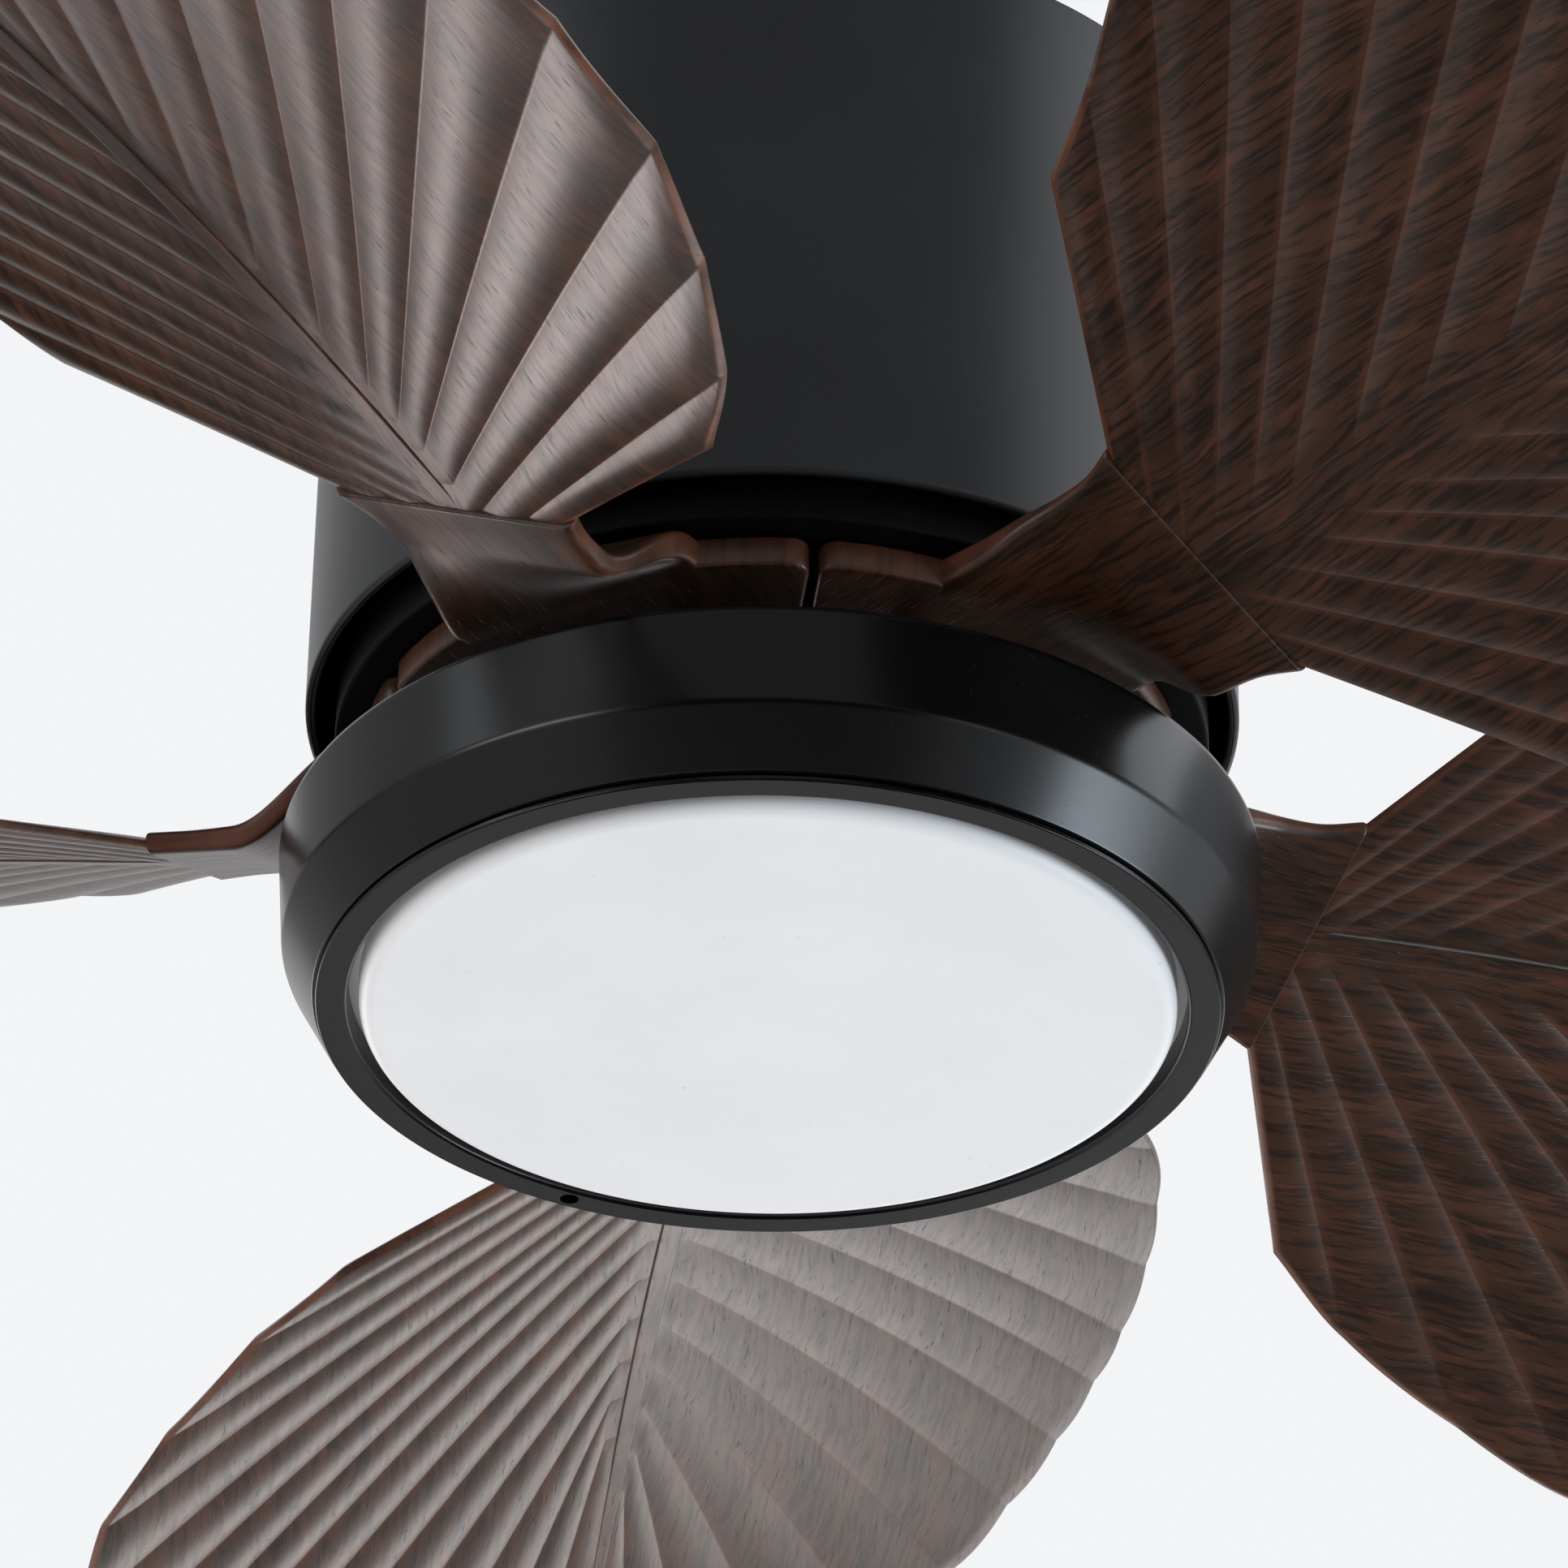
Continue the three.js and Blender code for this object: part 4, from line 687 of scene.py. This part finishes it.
def half_leaf(feet, tips):
    """One pleated half: rows run along ribs, from their feet to their tips, and columns from
    the centre line to the edge. Between two ribs the leaf bulges down by the parabola
    4u(1 - u) of the share u of the way, so the ribs are grooves below and crests above.
    Rows crowd at the ribs, and both skins draw together over the rounded rims."""
    ribs = len(tips) - 1
    steps = np.arange(RIB_STEPS * ribs + 1) / RIB_STEPS
    crowded = steps - RIB_CROWDING * np.sin(2 * np.pi * steps)
    first = ROOT_REACH * np.linspace(0, 1, ROOT_ROWS) ** 1.8
    p = np.concatenate([first, crowded[crowded > ROOT_REACH + 0.02]])
    foot, tip = through(feet, p), through(tips, p)
    rib = tip - foot
    length = np.linalg.norm(rib, axis=1)
    edge = np.gradient(tip, p, axis=0)
    edge_way = edge / np.linalg.norm(edge, axis=1, keepdims=True)
    reach = np.abs(rib[:, 0] * edge_way[:, 1] - rib[:, 1] * edge_way[:, 0])
    near = np.concatenate([EDGE_COLUMNS, RIM_R * (1 - np.sin(np.linspace(0, np.pi / 2, 7)))])
    q_near = 1 - near[None, :] / reach[:, None]
    q_inner = np.linspace(0, 1, LEAF_COLUMNS, endpoint=False)[None, :] * q_near[:, :1]
    q = np.concatenate([q_inner, q_near], 1)
    plan = foot[:, None] + rib[:, None] * q[..., None]
    centre = plan[:, :1] * np.array([1, 0])
    plan = np.concatenate([centre, plan], 1)
    q = np.concatenate([0 * q[:, :1], q], 1)

    root, corner = np.array(feet[0]), np.array(tips[0])
    root_way = (corner - root) / np.linalg.norm(corner - root)
    off = plan - root
    root_distance = np.abs(off[..., 0] * root_way[1] - off[..., 1] * root_way[0])
    edge_distance = (1 - q) * reach[:, None]
    rim = np.minimum(edge_distance, root_distance)
    pitch_across = np.gradient(plan, p, axis=0)
    rib_way = (rib / length[:, None])[:, None]
    width = np.abs(
        pitch_across[..., 0] * rib_way[..., 1] - pitch_across[..., 1] * rib_way[..., 0]
    )
    rise = cushion(q * length[:, None], PLEAT_END)
    rise = np.maximum(rise, ROOT_SHARE * (1 - smooth(p, 2, 4))[:, None])
    rise = rise * mix(1, EDGE_SHARE, smooth(q, 0.7, 1))
    rise = rise * mix(1, POINT_SHARE, smooth(p, ribs - 1, ribs))[:, None]
    share = p - np.floor(p)
    bulge = 4 * share * (1 - share)
    pleat = -PLEAT_SHARE * np.minimum(width, PLEAT_WIDTH) * rise * (bulge - 0.5)[:, None]
    pleat[:, 0] = 0
    half = LEAF_THICKNESS / 2 * cushion(edge_distance, RIM_R) * cushion(root_distance, RIM_R)
    bevel = BEVEL_DEPTH * (1 - smooth(rim, 0, BEVEL_WIDTH)) * np.minimum(1, half)
    r, c = plan[..., 0], plan[..., 1]
    groove = (1 - 2 * np.minimum(share, 1 - share))[:, None] * rise
    skins = [on_blade(r, c, pleat - half + bevel), on_blade(r, c, pleat + half - bevel)]
    points = np.concatenate(skins).reshape(-1, 3)
    grain, relief = wood_data(r, c, groove, rim)
    rows, columns = r.shape
    lower = grid(rows, columns)
    upper = rows * columns
    wall = np.arange(rows - 1) * columns
    inner = np.stack([wall, wall + columns, wall + columns + upper, wall + upper], -1)
    last = (rows - 1) * columns + np.arange(columns - 1)
    end_wall = np.stack([last, last + 1, last + 1 + upper, last + upper], -1)
    faces = np.concatenate([lower, lower + upper, inner, end_wall])
    return points, faces, np.tile(grain, (2, 1)), np.tile(relief, (2, 1))


def midrib():
    """The ridge along the leaf: a low, flat-topped section, wider on the low side, that
    narrows and sinks towards the point and closes at both ends."""
    bottom, top = -LEAF_THICKNESS / 2 - MIDRIB_PROUD, LEAF_THICKNESS / 2 + MIDRIB_TOP
    section = rounded(
        [
            (-5.2, -0.6, 0.3),
            (-3.4, bottom, 0.8),
            (3.6, bottom, 0.8),
            (5.6, -0.6, 0.4),
            (3.5, top, 1.0),
            (-3.5, top, 1.0),
        ],
        4,
    )
    tail = MIDRIB_END - MIDRIB_TAIL
    closing = tail + MIDRIB_TAIL * np.sin(np.linspace(0.15, 1, 8) * np.pi / 2)
    r = np.concatenate([[MIDRIB_START], np.linspace(MIDRIB_START + 0.5, tail, 110), closing])
    close = np.sqrt(1 - ((r - tail) / MIDRIB_TAIL).clip(0, 1) ** 2)
    close[0] = 0
    wide = mix(1, 0.34, smooth(r, 250, 640)) * close
    deep = mix(0.85, 1, smooth(r, SEAM_R, SEAM_R + 25)) * mix(1, 0.8, smooth(r, 300, 650)) * close
    c = wide[:, None] * section[None, :, 0]
    lift = deep[:, None] * section[None, :, 1]
    rows = np.broadcast_to(r[:, None], c.shape)
    points = on_blade(rows, c, lift).reshape(-1, 3)
    return points, grid(len(r), c.shape[1], False, True), *wood_data(rows, c, 0, MIDRIB_RIM)


def arm():
    """The arm from inside the pad to the seam: a flat section with rounded sides whose half
    width follows ARM_OUTLINE, ending in a square edge that is just eased."""
    ease = ARM_END_EDGE * (1 - np.sin(np.linspace(0, 1, 5) * np.pi / 2))
    r = np.concatenate([np.linspace(ARM_START, SEAM_R - ARM_END_EDGE - 0.6, 60), SEAM_R - ease])
    r = np.concatenate([r, [SEAM_R, SEAM_R]])
    outline = np.array(ARM_OUTLINE, float)
    knots = np.interp(r, outline[:, 0], np.arange(len(outline)))
    width = through(outline, knots)[:, 1]
    thinning = smooth(r, TWIST_START, SEAM_R - 8)
    thickness = mix(PAD_THICKNESS + ARM_PROUD, ARM_THICKNESS, thinning)
    half = (thickness - ARM_TUCK * (1 - smooth(r, ARM_START, TWIST_START))) / 2
    eased = ARM_END_EDGE * (1 - cushion(SEAM_R - r, ARM_END_EDGE))
    half = half - eased
    half[[0, -1]] = 0
    corner = np.minimum(ARM_EDGE, half)
    steps = 6
    turn = np.linspace(0, np.pi / 2, steps)
    flat = np.linspace(-1, 1, 25)[1:-1]
    left = -np.ones(steps)
    share = np.concatenate([left, flat, -left, -left, -flat, left])
    across, up = np.cos(turn), np.sin(turn)
    none, one = 0 * flat, 1 + 0 * flat
    cosine = np.concatenate([-across, none, up, across, none, -up])
    sine = np.concatenate([-up, -one, -across, up, one, across])
    level = np.repeat([-1, 1], len(sine) // 2)
    c = share * (width - corner)[:, None] + corner[:, None] * cosine
    lift = level * (half - corner)[:, None] + corner[:, None] * sine
    rows = np.broadcast_to(r[:, None], c.shape)
    rim = np.minimum((width[:, None] - np.abs(c)) * 1.4, 3) + ARM_RIM
    rim = np.where(SEAM_R - rows < 1, np.minimum(rim, ARM_END_RIM), rim)
    points = on_blade(rows, c, lift).reshape(-1, 3)
    return points, grid(len(r), c.shape[1], False, True), *wood_data(rows, c, 0, rim)


def pad():
    """The root pad: a sector slab. Its outline is a core loop pushed out by the corner
    radius, and its edge is a quarter circle above and below."""
    outer, inner = PAD_OUTER_R - PAD_CORNER, PAD_INNER_R + PAD_CORNER
    inset = PAD_GAP / 2 + PAD_CORNER
    front, back = (PAD_SECTOR - math.degrees(math.asin(inset / r)) for r in (outer, inner))
    side = PAD_SECTOR + 90
    steps = 8
    runs = [
        (outer, np.linspace(-front, front, 40), np.linspace(-front, front, 40)),
        (outer, np.full(steps, front), np.linspace(front, side, steps)),
        (inner, np.full(steps, back), np.linspace(side, 180 + back, steps)),
        (inner, np.linspace(back, -back, 20), np.linspace(180 + back, 180 - back, 20)),
        (inner, np.full(steps, -back), np.linspace(180 - back, 360 - side, steps)),
        (outer, np.full(steps, -front), np.linspace(360 - side, 360 - front, steps)),
    ]
    core = np.concatenate([direction(place) * r for r, place, _ in runs])
    push = direction(np.concatenate([way for _, _, way in runs]))
    turn = np.linspace(0, np.pi / 2, 7)
    out = PAD_CORNER - PAD_EDGE + PAD_EDGE * np.concatenate([np.sin(turn), np.cos(turn)])
    lift = PAD_THICKNESS / 2 - PAD_EDGE + PAD_EDGE * np.cos(turn)
    lift = np.concatenate([-lift, lift[::-1]])
    shoulder = PAD_CORNER - PAD_EDGE - 0.3
    out = np.concatenate([[0, 0, shoulder], out, [shoulder, 0, 0]])
    lift = np.concatenate([np.full(3, lift[0]), lift, np.full(3, lift[-1])])
    centre = np.array([(PAD_INNER_R + PAD_OUTER_R) / 2, 0])
    loops = core[None] + push[None] * out[:, None, None]
    loops[0], loops[-1] = centre, centre
    spin = np.radians(PAD_TURN)
    x = loops[..., 0] * np.cos(spin) - loops[..., 1] * np.sin(spin)
    y = loops[..., 0] * np.sin(spin) + loops[..., 1] * np.cos(spin)
    z = np.broadcast_to((PAD_MIDDLE_Z + lift)[:, None], x.shape)
    rim = (PAD_CORNER - out)[:, None] + PAD_RIM
    points = np.stack([x, y, z], -1).reshape(-1, 3)
    return points, grid(len(out), len(core), False, True), *wood_data(x, y, 0, rim)


def make_blades():
    """Five blades, each a leaf of two pleated halves and a midrib, and an arm with its pad."""
    leaf_parts = [half_leaf(LOW_FEET, LOW_TIPS), half_leaf(HIGH_FEET, HIGH_TIPS), midrib()]
    arm_parts = [arm(), pad()]
    for i in range(BLADE_COUNT):
        x, y = direction(FIRST_AZIMUTH + 360 / BLADE_COUNT * i - 90)
        turn = np.array([(x, y, 0), (-y, x, 0), (0, 0, 1)])
        for name, parts, shift in (
            (f"leaf_{i + 1}", leaf_parts, 0),
            (f"leaf_arm_{i + 1}", arm_parts, ARM_STEP),
        ):
            board = [0, 0, BOARD_STEP * i + shift]
            grain = np.concatenate([g for _, _, g, _ in parts]) * MM + board
            relief = np.concatenate([k for _, _, _, k in parts])
            piece(
                name,
                [(points @ turn, faces) for points, faces, _, _ in parts],
                walnut_wood,
                "rotor",
                [f"blade_{i + 1}"],
                [("grain", grain), ("relief", relief)],
                sharp=WOOD_SHARP_ANGLE,
            )


# --- Housing and rotor -------------------------------------------------------


def make_housing():
    """The deep drawn shell: a plain cylinder of sheet with its open edge folded inwards."""
    radius, low, high = span("housing_shell")
    hem = 3
    profile = rounded(
        [
            (radius - 2 * SHEET, low, 1.3),
            (radius, low, 1.3),
            (radius, high, 0.7),
            (radius - SHEET, high, 0.2),
            (radius - SHEET, low + hem, 0.1),
            (radius - 2 * SHEET, low + hem, 0.6),
        ]
    )
    shell = piece(
        "housing_skin",
        [turned(profile)],
        housing_paint,
        "mounted",
        ["housing_shell"],
    )
    z = -HOUSING_SCREW_DEPTH
    ends = [(at(a, radius - 10, z), at(a, radius + 5, z)) for a in HOUSING_SCREW_AZIMUTHS]
    drill(shell, [(SHANK_R + SEAT, *end) for end in ends])


def make_rotor_dish():
    """The lower rotor cover: a shallow turned dish with the bearing's boss in it."""
    radius, low, high = span("rotor_cover_lower")
    bearing_r = span("lower_bearing_outer_race")[0] + SEAT
    wall, boss_wall = 5, 3.2
    seam = low + 12
    floor = low + 3
    boss = floor + 9
    lip = bearing_r - 6.8
    profile = rounded(
        [
            (lip, low, 0.3),
            (radius, low, 1.1),
            (radius, seam, 0.5),
            (radius - wall, seam, 0.3),
            (radius - wall, floor, 1.5),
            (bearing_r + boss_wall, floor, 1),
            (bearing_r + boss_wall, boss, 0.3),
            (bearing_r, boss, 0.3),
            (bearing_r, floor, 0.2),
            (lip, floor, 0.2),
        ]
    )
    piece("rotor_dish", [turned(profile)], rotor_paint, "rotor", ["rotor_cover_lower"])


def screw_points():
    """A pan-head screw along +Z, head up, bearing face at z = 0. The head is a dome whose
    height falls with a power of the radius, less a cross-shaped recess."""
    rho = np.concatenate([np.linspace(0, 2.4, 22), np.linspace(2.6, HEAD_R - 0.25, 6)])
    angle = np.arange(HEAD_STEPS) * 2 * np.pi / HEAD_STEPS
    x, y = rho[:, None] * np.cos(angle), rho[:, None] * np.sin(angle)
    dome = HEAD_HEIGHT * (1 - DOME_FALL * (rho / HEAD_R) ** DOME_POWER)[:, None] + 0 * x
    small, large = np.minimum(abs(x), abs(y)), np.maximum(abs(x), abs(y))
    recess = RECESS_DEPTH * (1 - smooth(small, 0.38, 0.62)) * (1 - smooth(large, 1.6, 2.2))
    top = np.stack([x, y, dome - recess], -1)
    edge_r = np.array([HEAD_R - 0.08, HEAD_R, HEAD_R, HEAD_R - 0.2, SHANK_R, SHANK_R, 0])
    edge_z = np.array([1.22, 0.95, 0.25, 0, 0, -SHANK_LENGTH, -SHANK_LENGTH])
    x, y = edge_r[:, None] * np.cos(angle), edge_r[:, None] * np.sin(angle)
    points = np.concatenate([top, np.stack([x, y, edge_z[:, None] + 0 * x], -1)])
    return points.reshape(-1, 3), grid(len(points), HEAD_STEPS, False, True)


def make_screws():
    """The blades' screws, heads down under the pads, and the housing's, heads outwards."""
    points, faces = screw_points()
    down = np.diag([1, -1, -1])
    for i in range(2 * BLADE_COUNT):
        node = f"blade_screw_{i + 1}"
        place = np.array([*middle(node), SCREW_LOW_Z + HEAD_HEIGHT])
        piece(
            f"blade_fixing_{i + 1}",
            [(points @ down + place, faces)],
            zinc,
            "rotor",
            [node],
        )
    radius = span("housing_shell")[0] + SEAT
    for i, azimuth in enumerate(HOUSING_SCREW_AZIMUTHS):
        place = Vector(at(azimuth, radius, -HOUSING_SCREW_DEPTH))
        out = Vector((place.x, place.y, 0)).normalized()
        turn = np.array(out.to_track_quat("Z", "Y").to_matrix())
        piece(
            f"housing_fixing_{i + 1}",
            [(points @ turn.T + np.array(place), faces)],
            dark_screw,
            "mounted",
            [f"housing_screw_{i + 1}"],
        )


# --- Lamp --------------------------------------------------------------------


def make_lamp():
    """Pan, trim ring and diffuser, each a turned profile with eased corners."""
    top_r, mouth_z, top_z = span("light_pan")
    ring_r, ring_low, _ = span("trim_ring")
    face_r, face_z, flange_z = span("diffuser")
    mouth_r, wall_r = ring_r + 0.9, top_r - 2
    wall_z = top_z - 27.8
    shelf_z = top_z - 34
    shelf_r = face_r - SHEET
    hole_r = 18

    def cone_inside(z):
        return mouth_r - SHEET + (wall_r - mouth_r) * (z - mouth_z) / (wall_z - mouth_z)

    pan_profile = rounded(
        [
            (mouth_r - SHEET, mouth_z, 0.3),
            (mouth_r, mouth_z, 0.7),
            (wall_r, wall_z, 4),
            (top_r, top_z, 2.4),
            (hole_r, top_z, 0.4),
            (hole_r, top_z - SHEET, 0.2),
            (top_r - SHEET, top_z - SHEET, 1.2),
            (wall_r - SHEET, wall_z, 2.6),
            (cone_inside(shelf_z), shelf_z, 0.1),
            (shelf_r, shelf_z, 0.3),
            (shelf_r, shelf_z - SHEET, 0.3),
            (cone_inside(shelf_z - SHEET), shelf_z - SHEET, 0.1),
        ]
    )
    pan_parts = [turned(pan_profile)]
    pan = piece("lamp_pan", pan_parts, lamp_paint, "mounted", ["light_pan"])

    lip_inner, lip_top = ring_r - 8.6, ring_low + SHEET
    skirt, skirt_r = 0.75, mouth_r - SHEET - 0.5
    curl_top = flange_z - 1.9
    ring_profile = rounded(
        [
            (lip_inner, ring_low, 1.25),
            (ring_r, ring_low, 0.45),
            (ring_r, lip_top, 0.3),
            (skirt_r, lip_top, 0.1),
            (skirt_r, flange_z, 0.2),
            (skirt_r - skirt, flange_z, 0.2),
            (skirt_r - skirt, lip_top, 0.1),
            (lip_inner + SHEET, lip_top, 0.1),
            (lip_inner + SHEET, curl_top, 0.2),
            (lip_inner, curl_top, 0.4),
        ]
    )
    ring_parts = [turned(ring_profile)]
    ring = piece("lamp_ring", ring_parts, lamp_paint, "mounted", ["trim_ring"])

    x, y = middle("trim_lock_screw")
    access_r = 2.65
    drill(ring, [(access_r, (x, y, ring_low - 3), (x, y, lip_top + 0.3))])
    drill(pan, [(SHANK_R + SEAT, (x, y, shelf_z - 4), (x, y, shelf_z + 3))])

    opal_wall, wall_outer = 1.6, lip_inner - 2.8
    opal_profile = rounded(
        [
            (0, face_z, 0),
            (wall_outer, face_z, 4),
            (wall_outer, flange_z - opal_wall, 0.3),
            (face_r, flange_z - opal_wall, 0.3),
            (face_r, flange_z, 0.3),
            (wall_outer - opal_wall, flange_z, 0.6),
            (wall_outer - opal_wall, face_z + opal_wall, 2.4),
            (0, face_z + opal_wall, 0),
        ],
        8,
    )
    piece("opal_cover", [turned(opal_profile)], opal, "mounted", ["diffuser"])


# --- Studio ------------------------------------------------------------------


def make_camera():
    """The camera stands below and in front and looks up, rolled a little."""
    ahead = Vector(
        (
            math.sin(CAMERA_HEADING) * math.cos(CAMERA_TILT),
            math.cos(CAMERA_HEADING) * math.cos(CAMERA_TILT),
            math.sin(CAMERA_TILT),
        )
    )
    level = Vector((math.cos(CAMERA_HEADING), -math.sin(CAMERA_HEADING), 0))
    over = level.cross(ahead)
    right = math.cos(CAMERA_ROLL) * level + math.sin(CAMERA_ROLL) * over
    up = math.cos(CAMERA_ROLL) * over - math.sin(CAMERA_ROLL) * level
    camera = added("camera", bpy.data.cameras.new("camera"))
    turn = Matrix((right, up, -ahead)).transposed().to_4x4()
    camera.matrix_world = Matrix.Translation(Vector(CAMERA_PLACE) * MM) @ turn
    camera.data.sensor_width = SENSOR_WIDTH
    camera.data.lens = FOCAL_LENGTH / IMAGE_WIDTH * SENSOR_WIDTH
    camera.data.clip_start, camera.data.clip_end = CLIP_NEAR, CLIP_FAR
    bpy.context.scene.camera = camera


def softbox(name, place, size, brightness, colour):
    """An area lamp that faces the fan. Its power follows from how bright its face is."""
    lamp = bpy.data.lights.new(name, "AREA")
    lamp.shape = "RECTANGLE"
    lamp.size, lamp.size_y = size
    lamp.energy = brightness * math.pi * size[0] * size[1]
    lamp.color = colour
    obj = added(name, lamp)
    obj.location = place
    aim = Vector(FAN_MIDDLE) - Vector(place)
    obj.rotation_euler = aim.to_track_quat("-Z", "Y").to_euler()
    obj.visible_camera = False
    obj.visible_glossy = name not in HIDDEN_BOXES


def pale_floor():
    """Pale from above, lifted a little for the camera, and clear from below, so that the
    fan shows from there too."""
    n = new_finish("pale_floor")
    ray = n.add("ShaderNodeLightPath").socket.node.outputs
    seen = Value(n, ray["Is Camera Ray"])
    inputs = {
        "Base Color": (0.8, 0.8, 0.8),
        "Roughness": 0.9,
        "Specular IOR Level": 0.0,
        "Emission Color": n.blend(seen, (0.0, 0.0, 0.0), FLOOR_LIFT),
        "Emission Strength": 1.0,
    }
    above = n.add("ShaderNodeBsdfPrincipled", None, inputs)
    below = n.add("ShaderNodeBsdfTransparent")
    side = n.add("ShaderNodeNewGeometry", output="Backfacing")
    both = n.add("ShaderNodeMixShader", None, {0: side, 1: above, 2: below})
    n.add("ShaderNodeOutputMaterial", None, {"Surface": both})
    return n.owner


def card(name, corners, finish):
    """A flat card of the studio."""
    mesh = bpy.data.meshes.new(name)
    mesh.from_pydata(corners, [], [range(len(corners))])
    mesh.materials.append(finish)
    obj = added(name, mesh)
    return obj


def disc(x, y, radius, z):
    """The corners of a flat round card."""
    around = direction(np.arange(0, 360, 5)).tolist()
    return [(x + radius * a, y + radius * b, z) for a, b in around]


def flag(name, corners, grey):
    """A card that shows only in reflections, in an even grey."""
    finish = new_finish(name).surface(
        Base_Color=(0.0, 0.0, 0.0),
        Specular_IOR_Level=0.0,
        Emission_Color=(grey, grey, grey),
        Emission_Strength=1.0,
    )
    obj = card(name, corners, finish)
    obj.visible_camera = obj.visible_diffuse = obj.visible_shadow = False
    obj.visible_transmission = False


def make_studio():
    """A pale floor, a white surround, softboxes, and dark flags for the reflections."""
    card("floor", disc(0, 0, FLOOR_R, FLOOR_Z), pale_floor())
    flag("flag_below", disc(*DISC_MIDDLE, DISC_R, FLOOR_Z + 0.01), DISC_GREY)
    for name, (grey, corners) in FLAGS.items():
        flag(name, corners, grey)
    for name, box in SOFTBOXES.items():
        softbox(name, *box)

    world = bpy.data.worlds.new("surround")
    bpy.context.scene.world = world
    n = Nodes(world)
    ray = n.add("ShaderNodeLightPath").socket.node.outputs
    seen = Value(n, ray["Is Camera Ray"]).most(Value(n, ray["Is Glossy Ray"]))
    seen = seen.most(Value(n, ray["Is Transmission Ray"]))
    strength = SURROUND_FILL + seen * (1 - SURROUND_FILL)
    sky = n.add("ShaderNodeBackground", None, {"Color": tone(243, 244, 246), "Strength": strength})
    n.add("ShaderNodeOutputWorld", None, {"Surface": sky})
    bpy.context.scene.view_settings.view_transform = "Standard"


make_camera()
make_studio()
make_housing()
make_rotor_dish()
make_screws()
make_lamp()
make_blades()
